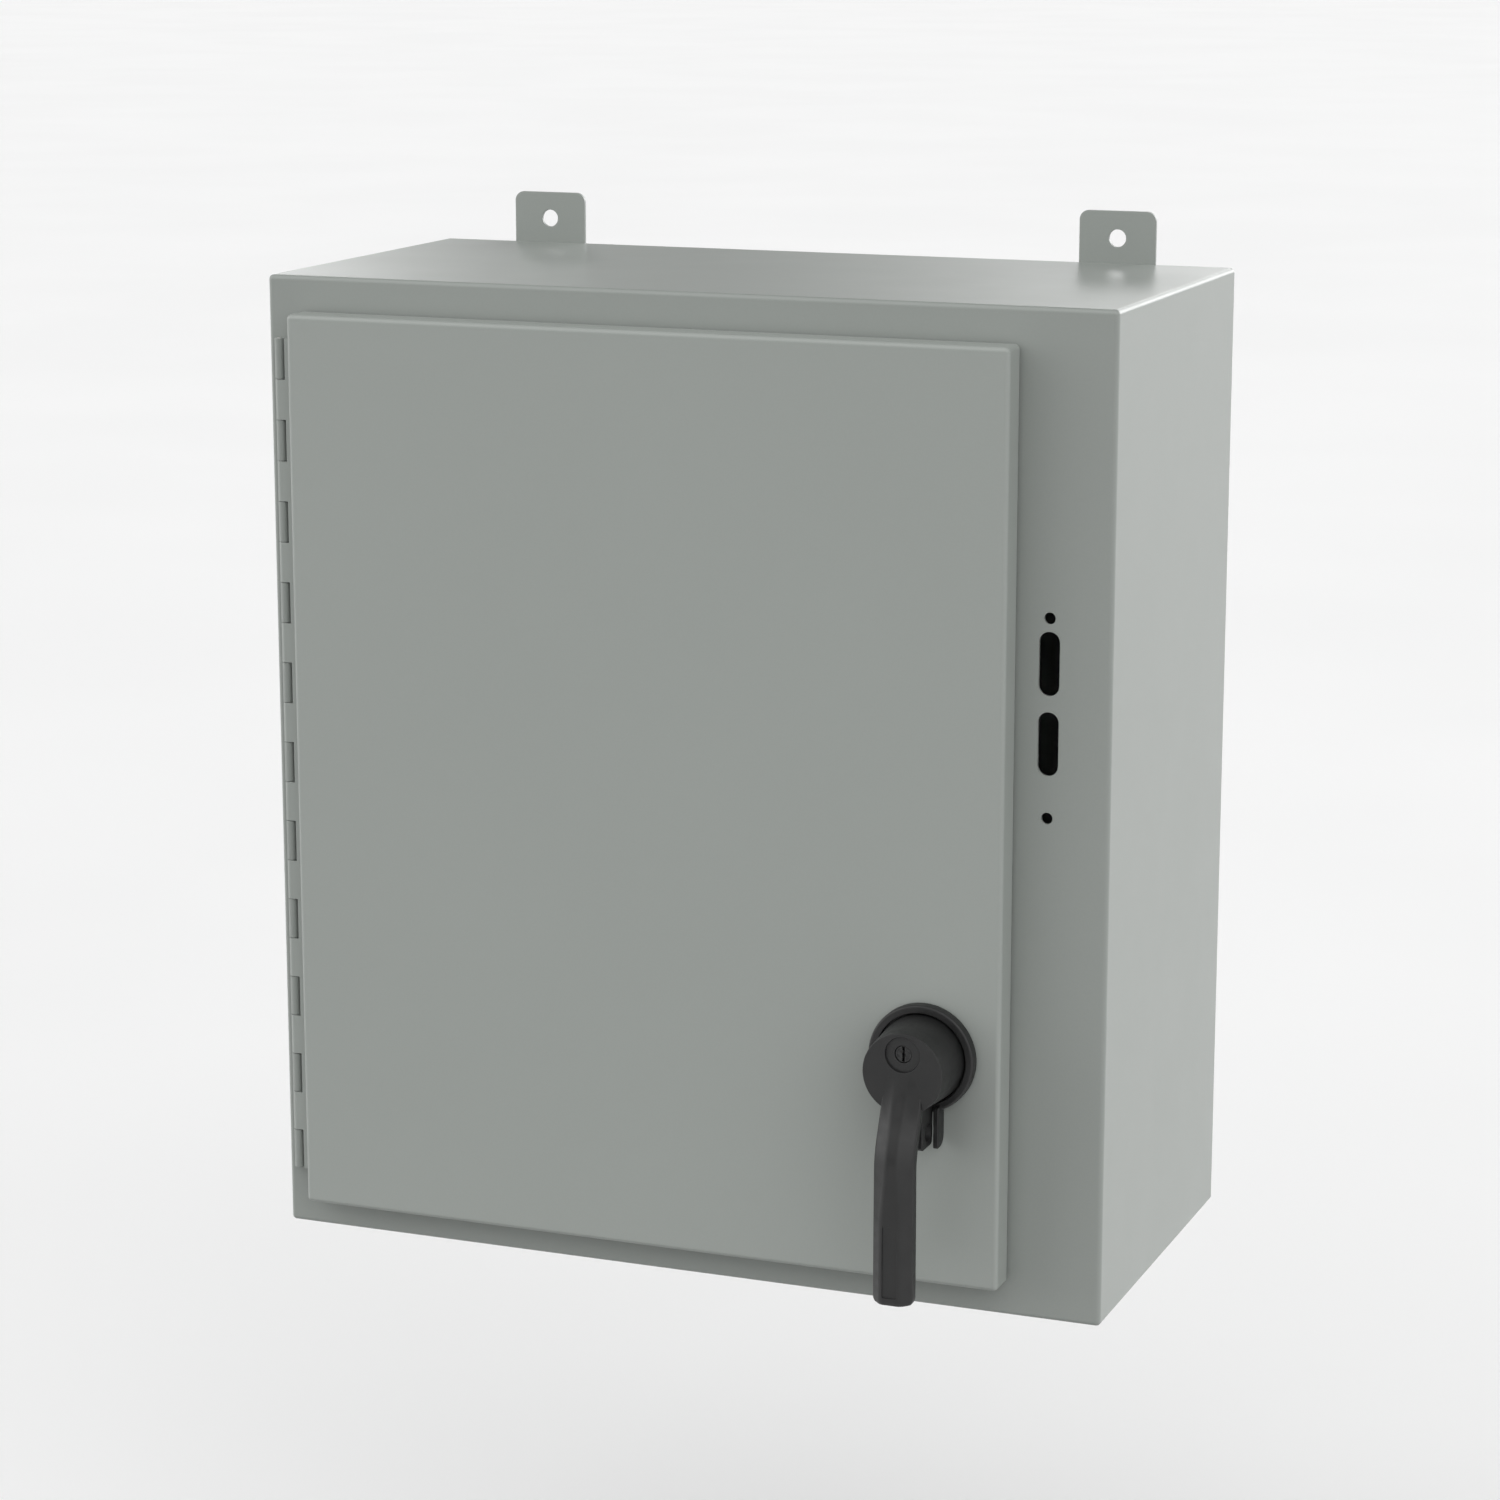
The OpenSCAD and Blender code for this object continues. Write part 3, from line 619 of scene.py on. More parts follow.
def comb(name, root_x, tip_x, y0, y1, low_z, pitch, first_knuckle, notch_x):
    """A hinge leaf with a notch at each of the other leaf's knuckles."""
    outline = [(tip_x, low_z), (tip_x, low_z + KNUCKLES * pitch)]
    for i in reversed(range(KNUCKLES)):
        own = i % 2 == first_knuckle
        gap = -LEAF_END_GAP if own else LEAF_END_GAP
        top = low_z + (i + 1) * pitch + (gap if i < KNUCKLES - 1 else 0)
        bottom = low_z + i * pitch - (gap if i > 0 else 0)
        x = root_x if own else notch_x
        outline += [(x, top), (x, bottom)]
    edge = 0.25 * MM
    return eased(prism(name, in_xz, outline, y0, y1), edge)


def hinge_leaf(node, name, body, first_knuckle, front):
    """One leaf of the hinge with its rolled knuckles. front is true for the door's leaf."""
    low, high = box_of(node)
    axis = centre_of("hinge_pin")
    pin_low, pin_high = box_of("hinge_pin")
    bore_r = (pin_high.x - pin_low.x) / 2 + BORE_GAP
    knuckle_r = axis.x - low.x
    low_z, high_z = [corner.z for corner in box_of("hinge_body_leaf")]
    pitch = (high_z - low_z) / KNUCKLES
    y0 = axis.y - knuckle_r if front else high.y - LEAF_T
    leaf = comb(name, axis.x, high.x, y0, y0 + LEAF_T, low_z, pitch, first_knuckle,
                axis.x + knuckle_r + NOTCH_GAP)
    bm = bmesh.new()
    bm.from_mesh(leaf.data)
    round_r = 0.3 * MM
    mid_r = 0.3 * round_r
    for i in range(first_knuckle, KNUCKLES, 2):
        z0 = low_z + i * pitch + KNUCKLE_END_GAP
        z1 = low_z + (i + 1) * pitch - KNUCKLE_END_GAP
        profile = [(bore_r, z0 + round_r), (bore_r + round_r, z0), (knuckle_r - round_r, z0),
                   (knuckle_r - mid_r, z0 + mid_r), (knuckle_r, z0 + round_r),
                   (knuckle_r, z1 - round_r), (knuckle_r - mid_r, z1 - mid_r),
                   (knuckle_r - round_r, z1), (bore_r + round_r, z1), (bore_r, z1 - round_r)]
        rings = [in_xy(circle(axis.x, axis.y, r, SMALL_ROUND_STEPS), z) for r, z in profile]
        skin(bm, rings, closed=True)
    bpy.data.objects.remove(leaf)
    fit(mesh_object(name, bm), body, "grey_paint", node)


def hinge_pin():
    """The hinge's rod. It ends a little inside its knuckles."""
    low, high = box_of("hinge_pin")
    r = (high.x - low.x) / 2
    dome = 0.6 * MM
    sunk = 1.2 * MM
    ends = arc(0, 0, 1, 0, 80, 5)
    profile = [(r * c, low.z + sunk + dome - dome * s) for c, s in reversed(ends)]
    profile += [(r * c, high.z - sunk - dome + dome * s) for c, s in ends]
    pin = turned("hinge_rod", profile, centre_of("hinge_pin"), "z", SMALL_ROUND_STEPS)
    fit(pin, "enclosure", "zinc_steel", "hinge_pin")


# ---- Door ----

def door_pan():
    """The door: a pan of sheet steel with turned edges, a low hinge side, and the handle's holes."""
    rect = rect_of("door_panel")
    low, high = box_of("door_panel")
    leaf_low, leaf_high = box_of("hinge_door_leaf")
    hinge_margin = 8 * MM
    inner_r = BEND_R - SHEET_T
    rings = bend(rect, low.y, BEND_R, BEND_R)[::-1]
    rings.append(nested(rect, 0, BEND_R, high.y - TINY_R))
    rings.append(nested(rect, -TINY_R, BEND_R - TINY_R, high.y))
    rings.append(nested(rect, TINY_R - SHEET_T, inner_r + TINY_R, high.y))
    rings.append(nested(rect, -SHEET_T, inner_r, high.y - TINY_R))
    rings += bend(rect, low.y, BEND_R, inner_r)
    door = solid("door_pan", rings)
    screw_r = 2.6 * MM
    y0, y1 = low.y - CUT_PAST, low.y + SHEET_T + CUT_PAST
    z0, z1 = leaf_low.z - hinge_margin, leaf_high.z + hinge_margin
    hinge_space = (low.x - CUT_PAST, leaf_low.y, z0), (leaf_high.x, high.y + CUT_PAST, z1)
    tools = [block("hinge_cutter", *hinge_space),
             prism("bore_cutter", in_xz, circle(AXIS.x, AXIS.z, SHAFT_BORE_R), y0, y1)]
    for z in screw_heights():
        outline = circle(AXIS.x, z, screw_r, SMALL_ROUND_STEPS)
        tools.append(prism("screw_cutter", in_xz, outline, y0, y1))
    cut(door, *tools)
    flap_start = low.x + SHEET_T / 2
    flap = block("hinge_flap", (flap_start, leaf_low.y - SHEET_T, z0), (leaf_high.x, leaf_low.y, z1))
    joined(door, flap)
    fit(door, "door", "grey_paint", "door_panel")


def screw_heights():
    """The heights of the escutcheon's two screws."""
    low, high = box_of("escutcheon_screws")
    head_r = 4.5 * MM
    return low.z + head_r, high.z - head_r


def door_gasket():
    """The foam gasket, with a crowned face and the groove that the lip has pressed into it."""
    low, high = box_of("door_gasket")
    rect = rect_of("door_gasket")
    outer_r = 22 * MM
    depth = high.y - low.y
    crown = 1.5 * MM
    groove = 1.1 * MM
    # Each row: how far in from the outer edge in millimetres, and how deep
    rows = [(0, 0), (0, depth - crown), (0.4, depth - 0.4 * crown), (1.5, depth), (4.8, depth),
            (6.2, depth - groove), (7.8, depth - groove), (9.2, depth), (12.5, depth),
            (13.6, depth - 0.4 * crown), (14, depth - crown), (14, 0)]
    rings = [nested(rect, -a * MM, outer_r - a * MM, low.y + b) for a, b in rows]
    fit(solid("gasket_foam", rings, closed=True), "door", "gasket_rubber", "door_gasket")


# ---- Handle ----

# Heights count from the handle's axis
RING_T = 7 * MM
RING_FLOOR_T = 3 * MM
HUB_FACE_Y = FACE_Y - 62 * MM
GRIP_Y = HUB_FACE_Y - 20 * MM
GRIP_BEND_Z = -48 * MM
GRIP_HALF_W = 12.5 * MM
GRIP_T = 17 * MM
GRIP_CHAMFER_T = 6.4 * MM
GRIP_FLANK_T = 6.6 * MM
GRIP_FACE_R = 5 * MM
GRIP_SIDE_R = 3 * MM
GRIP_FILLET_STEPS = 5
EAR_CORNER_STEPS = 8
# Half the width of the grip's front face, and the heights between which it grows
GRIP_TOP_FACE = 3.4 * MM
GRIP_LOW_FACE = 6 * MM
GRIP_WIDEN_FROM = -58 * MM
GRIP_WIDEN_TO = -86 * MM


def escutcheon():
    """The ring that the hub turns in, with its stop ear."""
    low, high = box_of("handle_escutcheon")
    ring_r = high.x - AXIS.x
    face_y = high.y - RING_T
    recess_y = high.y - RING_FLOOR_T
    recess_r = 28 * MM
    bore_r = SHAFT_BORE_R
    edge = 1.6 * MM
    inner_edge = 0.6 * MM
    back_edge = 0.3 * MM
    profile = [(bore_r, high.y), (ring_r - back_edge, high.y), (ring_r, high.y - back_edge)]
    profile += [(ring_r - edge + edge * c, face_y + edge - edge * s) for c, s in arc(0, 0, 1, 0, 90, 5)]
    profile += [(recess_r + inner_edge - inner_edge * s, face_y + inner_edge - inner_edge * c)
                for c, s in arc(0, 0, 1, 0, 90, EDGE_STEPS)]
    profile += [(recess_r, recess_y), (bore_r, recess_y)]
    ring = turned("escutcheon_ring", profile, AXIS, closed=True, steps=FINE_ROUND_STEPS)
    ear_x = AXIS.x + 10 * MM, AXIS.x + 13 * MM
    ear_top = AXIS.z - 27.5 * MM
    ear_edge = 0.4 * MM
    corners = [(low.y, ear_top), (low.y, low.z), (high.y, low.z), (high.y, ear_top)]
    radii = (2 * MM, 1 * MM, 6.5 * MM, 0.5 * MM)
    outline = filleted(corners, radii, 5)
    joined(ring, eased(prism("stop_ear", in_yz, outline, *ear_x), ear_edge, 3))
    screw_r = 2.45 * MM
    screw_head_y = recess_y + 0.9 * MM
    for z in screw_heights():
        outline = circle(AXIS.x, z, screw_r, SMALL_ROUND_STEPS)
        cut(ring, prism("screw_cutter", in_xz, outline, screw_head_y, high.y + CUT_PAST))
    fit(ring, "door", "handle_plastic", "handle_escutcheon")


def grip_section(y, z, inset=0.0):
    """One level section of the grip: a rounded octagon, its front face at y. z counts from the axis."""
    widened = min(max((GRIP_WIDEN_FROM - z) / (GRIP_WIDEN_FROM - GRIP_WIDEN_TO), 0), 1)
    face = GRIP_TOP_FACE + (GRIP_LOW_FACE - GRIP_TOP_FACE) * widened
    side = GRIP_HALF_W - inset
    front = y + inset
    shoulder = y + GRIP_CHAMFER_T
    flank = shoulder + GRIP_FLANK_T
    back = y + GRIP_T - inset
    corners = [(-face, front), (-side, shoulder), (-side, flank), (-face, back),
               (face, back), (side, flank), (side, shoulder), (face, front)]
    radii = [GRIP_FACE_R if abs(x) == face else GRIP_SIDE_R for x, _ in corners]
    outline = filleted([(AXIS.x + x, v) for x, v in corners], radii, GRIP_FILLET_STEPS)
    return in_xy(outline, AXIS.z + z)


def grip_solid(tip):
    """The grip: it slopes out of the hub, bends, and runs straight down to a rounded tip."""
    slope = (GRIP_Y - HUB_FACE_Y) / GRIP_BEND_Z
    root_z = 6 * MM
    blend = 16 * MM
    blend_steps = 8
    tip_round = 4 * MM
    rings = [grip_section(HUB_FACE_Y + slope * root_z, root_z)]
    for i in range(blend_steps + 1):
        z = GRIP_BEND_Z + blend - 2 * blend * i / blend_steps
        share = (GRIP_BEND_Z + blend - z) / (2 * blend)
        sloping = slope * (z - GRIP_BEND_Z) * (1 - share)
        rounding = slope * blend / 2 * (share - share ** 2)
        rings.append(grip_section(max(GRIP_Y + sloping + rounding, GRIP_Y), z))
    rings += [grip_section(GRIP_Y, z) for z in (-72 * MM, GRIP_WIDEN_TO, tip + tip_round)]
    for c, s in arc(0, 0, 1, 0, 90, EDGE_STEPS)[1:]:
        rings.append(grip_section(GRIP_Y, tip + tip_round * (1 - s), tip_round / 2 * (1 - c)))
    return solid("grip", rings)


def hub():
    """The lever's coned hub."""
    back_y = box_of("handle_lever")[1].y
    base_r, face_r, edge, back_edge = 27.2 * MM, 24.7 * MM, 0.6 * MM, 0.4 * MM
    profile = [(base_r - back_edge, back_y), (base_r, back_y - back_edge), (face_r, HUB_FACE_Y + edge)]
    profile += [(face_r - edge + edge * c, HUB_FACE_Y + edge - edge * s)
                for c, s in arc(0, 0, 1, 20, 90, EDGE_STEPS)]
    return turned("lever", profile, AXIS, steps=FINE_ROUND_STEPS)


def padlock_ear():
    """The ear beside the grip that holds a padlock."""
    y0, y1 = FACE_Y - 50 * MM, FACE_Y - 31 * MM
    z0, z1 = AXIS.z - 50.5 * MM, AXIS.z - 20 * MM
    x0, x1 = AXIS.x + 3 * MM, AXIS.x + 8.7 * MM
    corner_r, edge = 3 * MM, 0.5 * MM
    outline = rounded_rect(y0, z0, y1, z1, corner_r, EAR_CORNER_STEPS)
    return eased(prism("padlock_ear", in_yz, outline, x0, x1), edge, 3)


def lever_cutters():
    """Cutters for the lever's holes: lock recess and bore, padlock eye, shaft socket, grip panel."""
    lock = centre_of("key_cylinder")
    low, high = box_of("key_cylinder")
    plug_r = (high.x - low.x) / 2
    recess_r, recess_depth, rim = 10.5 * MM, 1.6 * MM, 0.6 * MM
    recess = [(recess_r, HUB_FACE_Y + recess_depth), (recess_r + 0.1 * MM, HUB_FACE_Y + 0.4 * MM),
              (recess_r + rim, HUB_FACE_Y - 0.2 * MM), (recess_r + rim, HUB_FACE_Y - CUT_PAST)]
    bore_r, bore_rim_r, bore_depth = plug_r + 0.05 * MM, plug_r + 0.5 * MM, 21.4 * MM
    bore = [(bore_r, HUB_FACE_Y + bore_depth), (bore_r, HUB_FACE_Y + 1.9 * MM),
            (bore_rim_r, HUB_FACE_Y + 1.4 * MM), (bore_rim_r, HUB_FACE_Y - CUT_PAST)]
    eye = mount("padlock_eye")
    eye_outline = circle(eye["pos_m"][1], eye["pos_m"][2], eye["dims"]["r_mm"] * MM, SMALL_ROUND_STEPS)
    eye_x = AXIS.x + 2 * MM, AXIS.x + 10 * MM
    shaft_r, shaft_y = 6.05 * MM, FACE_Y - 38 * MM
    back_y = box_of("handle_lever")[1].y
    panel_half_w, panel_depth, panel_corner_r = 4.6 * MM, 0.6 * MM, 1 * MM
    panel_z = AXIS.z - 132 * MM, AXIS.z - 88 * MM
    panel = rounded_rect(AXIS.x - panel_half_w, panel_z[0], AXIS.x + panel_half_w, panel_z[1], panel_corner_r)
    return (turned("recess_cutter", recess, lock),
            turned("bore_cutter", bore, lock, steps=SMALL_ROUND_STEPS),
            prism("eye_cutter", in_yz, eye_outline, *eye_x),
            prism("shaft_cutter", in_xz, circle(AXIS.x, AXIS.z, shaft_r), shaft_y, back_y + CUT_PAST),
            prism("panel_cutter", in_xz, panel, GRIP_Y - CUT_PAST, GRIP_Y + panel_depth))


def handle_lever():
    """The lever: a coned hub with the lock's recess, the grip, and the padlock ear."""
    lever = hub()
    joined(lever, grip_solid(box_of("handle_lever")[0].z - AXIS.z), padlock_ear())
    cut(lever, *lever_cutters())
    fit(lever, "handle", "handle_plastic", "handle_lever")


# The keyway's outline in millimetres: a stepped slot
KEYWAY = [(-0.8, -4.6), (0.8, -4.6), (0.8, -1.2), (1.3, -1.2), (1.3, 0.4), (0.8, 0.4),
          (0.8, 4.6), (-0.8, 4.6), (-0.8, 2.0), (-0.3, 2.0), (-0.3, 1.0), (-0.8, 1.0)]


def key_cylinder():
    """The lock's plug, with a rounded rim and a stepped keyway."""
    low, high = box_of("key_cylinder")
    centre = centre_of("key_cylinder")
    r = (high.x - low.x) / 2
    rim = 0.5 * MM
    dish = 0.35 * MM
    dish_edge = 1.2 * MM
    back_edge = 0.3 * MM
    keyway_depth = 4 * MM
    profile = [(r - back_edge, high.y), (r, high.y - back_edge)]
    profile += [(r - rim + rim * c, low.y + rim - rim * s) for c, s in arc(0, 0, 1, 0, 90, EDGE_STEPS)]
    profile += [(r - dish_edge, low.y), (r - dish_edge - 0.3 * MM, low.y + dish)]
    plug = turned("lock_plug", profile, centre, steps=SMALL_ROUND_STEPS)
    outline = [(centre.x + a * MM, centre.z + b * MM) for a, b in KEYWAY]
    cut(plug, prism("keyway_cutter", in_xz, outline, low.y - CUT_PAST, low.y + keyway_depth))
    fit(plug, "lock", "lock_metal", "key_cylinder")


# ---- Fasteners and the latch ----

def thread(r, depth, y0, y1, pitch):
    """The profile of a threaded stretch, as grooves, from y0 to y1."""
    count = int(abs(y1 - y0) / pitch)
    step = (y1 - y0) / count
    rows = []
    for i in range(count):
        y = y0 + i * step
        rows += [(r - depth, y), (r, y + 0.35 * step), (r, y + 0.65 * step)]
    return rows + [(r - depth, y1)]


def solids_at(name, node, make, body, slot, *replaced):
    """One piece with the same shape at each separate solid of a CAD node."""
    bm = bmesh.new()
    for centre in island_centres(node):
        made = make(centre)
        bm.from_mesh(made.data)
        bpy.data.objects.remove(made)
    fit(mesh_object(name, bm), body, slot, *replaced)


def island_centres(node):
    """The middle of each separate solid in a CAD node."""
    bm = bmesh.new()
    bm.from_mesh(frame["nodes"][node].data)
    bmesh.ops.remove_doubles(bm, verts=bm.verts, dist=WELD_DIST)
    left, centres = set(bm.verts), []
    while left:
        todo, found = [left.pop()], []
        while todo:
            vert = todo.pop()
            found.append(vert.co.copy())
            for edge in vert.link_edges:
                other = edge.other_vert(vert)
                if other in left:
                    left.remove(other)
                    todo.append(other)
        low = Vector([min(p[k] for p in found) for k in range(3)])
        high = Vector([max(p[k] for p in found) for k in range(3)])
        centres.append((low + high) / 2)
    bm.free()
    return sorted(centres, key=lambda p: (round(p.x, 4), round(p.z, 4)))


def panel_studs():
    """The threaded studs with collars that carry the equipment panel."""
    low, high = box_of("collar_studs")
    stud_r, collar_r, tip = 4.75 * MM, 7 * MM, 0.8 * MM
    collar_y = high.y - 12.7 * MM
    thread_depth, thread_pitch = 0.5 * MM, 1.4 * MM
    thread_end, plain_start = collar_y - 2 * MM, collar_y - 1.8 * MM
    edge = 0.4 * MM
    profile = [(stud_r - tip, low.y)] + thread(stud_r, thread_depth, low.y + tip, thread_end, thread_pitch)
    profile += [(stud_r, plain_start), (stud_r, collar_y), (collar_r - edge, collar_y),
                (collar_r, collar_y + edge), (collar_r, high.y)]
    solids_at("stud_set", "collar_studs", lambda c: turned("stud", profile, c, steps=SMALL_ROUND_STEPS),
              "enclosure", "zinc_steel", "collar_studs")


def ground_stud(node, body, tip_low):
    """A ground stud with its thread. tip_low is true where its free end has the lower y."""
    low, high = box_of(node)
    r = (high.x - low.x) / 2
    tip, plain = 0.6 * MM, 3 * MM
    thread_depth, thread_pitch = 0.35 * MM, 1 * MM
    root, end = (high.y, low.y) if tip_low else (low.y, high.y)
    way = math.copysign(1, end - root)
    profile = [(r, root)] + thread(r, thread_depth, root + way * plain, end - way * tip, thread_pitch)
    profile += [(r - tip, end)]
    stud = turned(node + "_rod", profile, centre_of(node), steps=SMALL_ROUND_STEPS)
    fit(stud, body, "zinc_steel", node)


def hex_nut(name, centre, flat_r, bore_r, y0, y1):
    """A hexagonal nut along Y, with its corners chamfered on both faces."""
    corner_r = flat_r / math.cos(math.pi / 6)
    edge = 0.2 * MM
    nut = eased(prism(name, in_xz, circle(centre.x, centre.z, corner_r, 6), y0, y1), edge)
    slope = (corner_r - flat_r) * 0.6
    face_r, middle_r = flat_r * 0.97, corner_r + 0.2 * MM
    barrel = [(face_r, y0), (middle_r, y0 + slope), (middle_r, y1 - slope), (face_r, y1)]
    combined(nut, [turned("barrel", barrel, centre, steps=SMALL_ROUND_STEPS)], "INTERSECT")
    chamfer = 0.5 * MM
    bore = [(bore_r + chamfer + CUT_PAST, y0 - CUT_PAST), (bore_r, y0 + chamfer), (bore_r, y1 - chamfer),
            (bore_r + chamfer + CUT_PAST, y1 + CUT_PAST)]
    return cut(nut, turned("bore", bore, centre, steps=SMALL_ROUND_STEPS))


def washer(name, centre, r, bore_r, y0, y1):
    """A flat washer along Y with eased edges."""
    e = 0.25 * MM
    profile = [(bore_r, y0 + e), (bore_r + e, y0), (r - e, y0), (r, y0 + e), (r, y1 - e), (r - e, y1),
               (bore_r + e, y1), (bore_r, y1 - e)]
    return turned(name, profile, centre, closed=True, steps=SMALL_ROUND_STEPS)


def nut_sets():
    """The nuts and washers that hold the equipment panel on its studs."""
    flat_r, washer_r, bore_r = 7.15 * MM, 10 * MM, 4.8 * MM
    low, high = box_of("panel_nuts")
    solids_at("nut_set", "panel_nuts", lambda c: hex_nut("nut", c, flat_r, bore_r, low.y, high.y),
              "enclosure", "zinc_steel", "panel_nuts")
    under, over = box_of("panel_washers")
    solids_at("washer_set", "panel_washers", lambda c: washer("washer", c, washer_r, bore_r, under.y, over.y),
              "enclosure", "zinc_steel", "panel_washers")


def cam_fasteners():
    """The nut and washer that hold the cam on the handle's shaft."""
    flat_r, washer_r, bore_r = 9 * MM, 11 * MM, 6.05 * MM
    low, high = box_of("cam_nut")
    nut = hex_nut("cam_hex_nut", AXIS, flat_r, bore_r, low.y, high.y)
    fit(nut, "handle", "zinc_steel", "cam_nut")
    low, high = box_of("cam_washer")
    disc = washer("cam_flat_washer", AXIS, washer_r, bore_r, low.y, high.y)
    fit(disc, "handle", "zinc_steel", "cam_washer")


def rollers():
    """The nylon wheels at the free ends of the latch rods."""
    for side in ("upper", "lower"):
        node = side + "_roller"
        low, high = box_of(node)
        centre = centre_of(node)
        r = (high.z - low.z) / 2
        bore_r = 2.55 * MM
        e = 0.8 * MM
        bore_edge = 0.2 * MM
        profile = [(bore_r, low.x + bore_edge), (bore_r + bore_edge, low.x)]
        profile += [(r - e + e * s, low.x + e - e * c) for c, s in arc(0, 0, 1, 0, 90, EDGE_STEPS)]
        profile += [(r - e + e * c, high.x - e + e * s) for c, s in arc(0, 0, 1, 0, 90, EDGE_STEPS)]
        profile += [(bore_r + bore_edge, high.x), (bore_r, high.x - bore_edge)]
        wheel = turned(side + "_wheel", profile, centre, "x", closed=True, steps=SMALL_ROUND_STEPS)
        fit(wheel, node, "roller_nylon", node)


# Nodes that keep their CAD shape, with eased edges: body, slot and the rounding in millimetres
EASED_COPIES = {
    "equipment_panel": ("enclosure", "white_paint", 0.4),
    "body_ground_nut": ("enclosure", "zinc_steel", 0.2),
    "gasket_strips": ("door", "zinc_steel", 0.25),
    "door_stiffener": ("door", "grey_paint", 0.5),
    "document_pocket": ("door", "pocket_plastic", 0.7),
    "door_ground_nut": ("door", "zinc_steel", 0.2),
    "escutcheon_gasket": ("door", "gasket_rubber", 0.15),
    "escutcheon_screws": ("door", "zinc_steel", 0.2),
    "shaft_bushing": ("door", "zinc_steel", 0.3),
    "upper_rod_guide": ("door", "zinc_steel", 0.3),
    "lower_rod_guide": ("door", "zinc_steel", 0.3),
    "handle_shaft": ("handle", "zinc_steel", 0.4),
    "latch_cam": ("handle", "zinc_steel", 0.3),
    "cam_pins": ("handle", "zinc_steel", 0.3),
    "upper_latch_rod": ("upper_rod", "zinc_steel", 0.4),
    "lower_latch_rod": ("lower_rod", "zinc_steel", 0.4),
    "upper_roller_pin": ("upper_rod", "zinc_steel", 0.3),
    "lower_roller_pin": ("lower_rod", "zinc_steel", 0.3),
}


def eased_copies():
    """A finished copy of each node in EASED_COPIES."""
    for node, (body, slot, width) in EASED_COPIES.items():
        fit(fine_copy(node, width * MM), body, slot, node)


# ---- Stage ----

def camera():
    """The photograph's eye point and framing. It looks a little down, and has no shift."""
    data = bpy.data.cameras.new("camera")
    made = bpy.data.objects.new("camera", data)
    bpy.context.scene.collection.objects.link(made)
    eye = (0.9219, -2.4899, 0.5623)
    yaw, pitch = math.radians(21.401), math.radians(12.482)
    data.sensor_width = 36
    data.lens = 98.14
    made.location = eye
    made.rotation_euler = (math.pi / 2 - pitch, 0, yaw)
    bpy.context.scene.camera = made


def floor():
    """A wide pale floor. It hangs below the object and doesn't colour its diffuse light."""
    half = 40
    drop = 0.3
    z = cad_box[0].z - drop
    outline = [(-half, -half), (half, -half), (half, half), (-half, half)]
    bm = bmesh.new()
    bm.faces.new([bm.verts.new(p) for p in in_xy(outline, z)])
    made = mesh_object("floor", bm)
    s = Shader("floor_paint", Roughness=0.9, Specular_IOR_Level=0.1)
    s.colour(s.blend(s.span(s.noise(0.8, 2), 0, 1), grey(0.95), grey(0.97)))
    made.data.materials.append(s.material)
    made.visible_diffuse = False


# The studio's soft lights, each a lobe of the surround: direction it comes from, sharpness, strength
SOFT_LIGHTS = [
    ((-0.98, -0.17, 0), 6, 2.6),
    ((-0.5, -0.5, 0.7), 5, 1.45),
    ((0.63, -0.53, 0.57), 5, 1.9),
    ((0.64, -0.77, 0), 6, 0.3),
    ((0.82, 0, -0.57), 4, 0.95),
    ((0.74, 0.62, 0.24), 30, 4.2),
    ((0.41, 0.88, 0.24), 30, 7),
    ((0.09, 0.97, 0.24), 30, 1.3),
    ((-0.14, 0.97, 0.21), 150, 3.3),
    ((-0.25, 0.95, 0.21), 300, 2),
    ((-0.53, 0.82, 0.21), 300, 12),
]


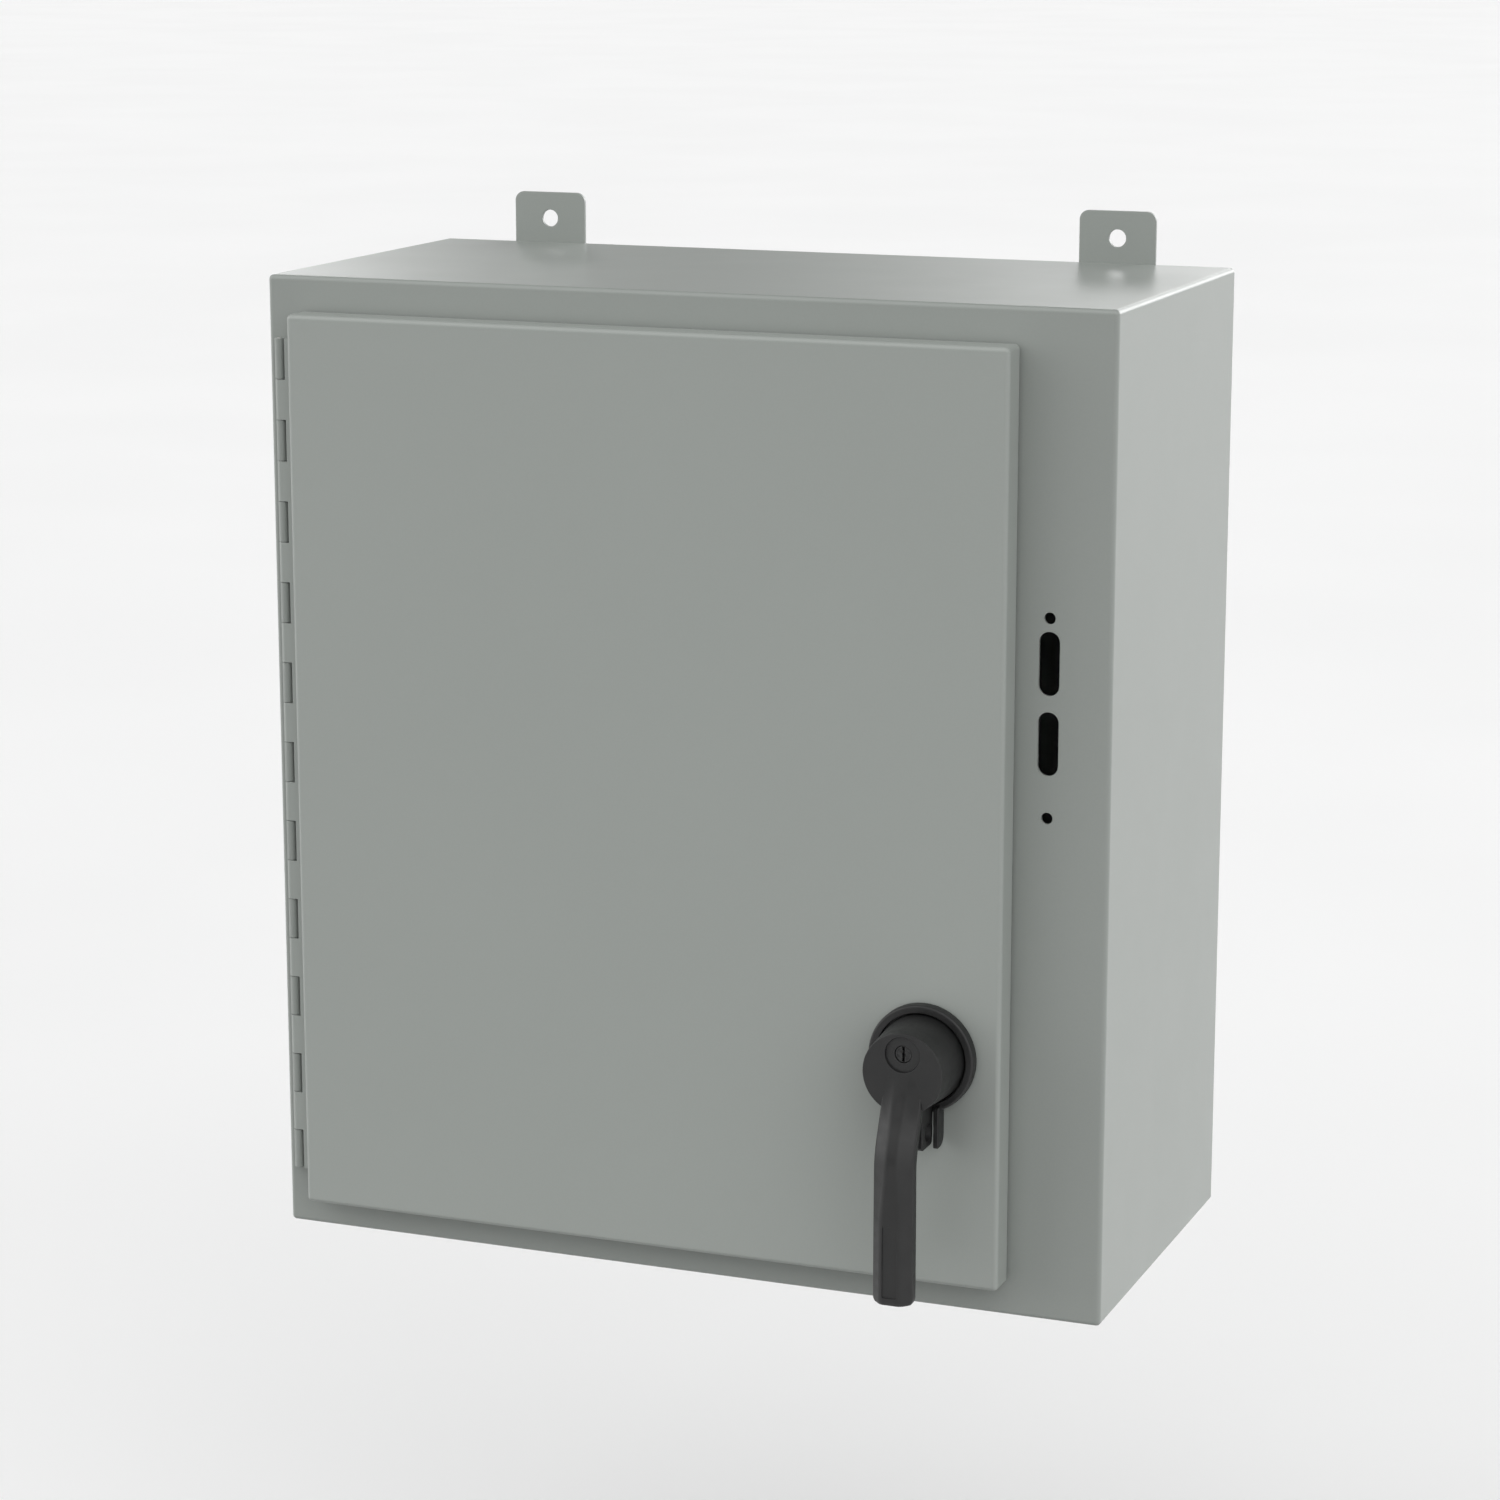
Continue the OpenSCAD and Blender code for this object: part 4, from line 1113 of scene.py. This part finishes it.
def sky():
    """The studio's surround: the sum of its soft lights. The camera sees plain white behind."""
    world = bpy.data.worlds.new("studio")
    world.use_nodes = True
    bpy.context.scene.world = world
    tree = world.node_tree
    background = tree.nodes["Background"]
    background.inputs["Color"].default_value = (1, 1, 1, 1)
    direction = tree.nodes.new("ShaderNodeTexCoord").outputs["Generated"]
    total = None
    for place, sharpness, strength in SOFT_LIGHTS:
        toward = tree.nodes.new("ShaderNodeVectorMath")
        toward.operation = "DOT_PRODUCT"
        toward.inputs[1].default_value = Vector(place).normalized()
        tree.links.new(direction, toward.inputs[0])
        facing = math_node(tree, "MAXIMUM", toward.outputs["Value"], 0.0)
        lobe = math_node(tree, "POWER", facing, sharpness)
        lobe = math_node(tree, "MULTIPLY", lobe, strength)
        total = math_node(tree, "ADD", lobe, total) if total else lobe
    light = tree.nodes.new("ShaderNodeLightPath").outputs["Is Camera Ray"]
    seen = tree.nodes.new("ShaderNodeMix")
    tree.links.new(light, seen.inputs["Factor"])
    tree.links.new(total, seen.inputs["A"])
    seen.inputs["B"].default_value = 1.0
    tree.links.new(seen.outputs["Result"], background.inputs["Strength"])


def math_node(tree, operation, first, second):
    """A Math node. The second input is a number or another node's output."""
    made = tree.nodes.new("ShaderNodeMath")
    made.operation = operation
    tree.links.new(first, made.inputs[0])
    if isinstance(second, (int, float)):
        made.inputs[1].default_value = second
    else:
        tree.links.new(second, made.inputs[1])
    return made.outputs[0]


def stage():
    """The plain view transform, the surround and the floor."""
    bpy.context.scene.view_settings.view_transform = "Standard"
    sky()
    floor()


camera()
stage()
body_shell()
back_panel()
for foot in ("upper_left_foot", "upper_right_foot", "lower_left_foot", "lower_right_foot"):
    wall_foot(foot)
hinge_leaf("hinge_body_leaf", "hinge_leaf_body", "enclosure", 0, False)
hinge_leaf("hinge_door_leaf", "hinge_leaf_door", "door", 1, True)
hinge_pin()
door_pan()
door_gasket()
escutcheon()
handle_lever()
key_cylinder()
panel_studs()
nut_sets()
ground_stud("body_ground_stud", "enclosure", True)
ground_stud("door_ground_stud", "door", False)
cam_fasteners()
rollers()
eased_copies()
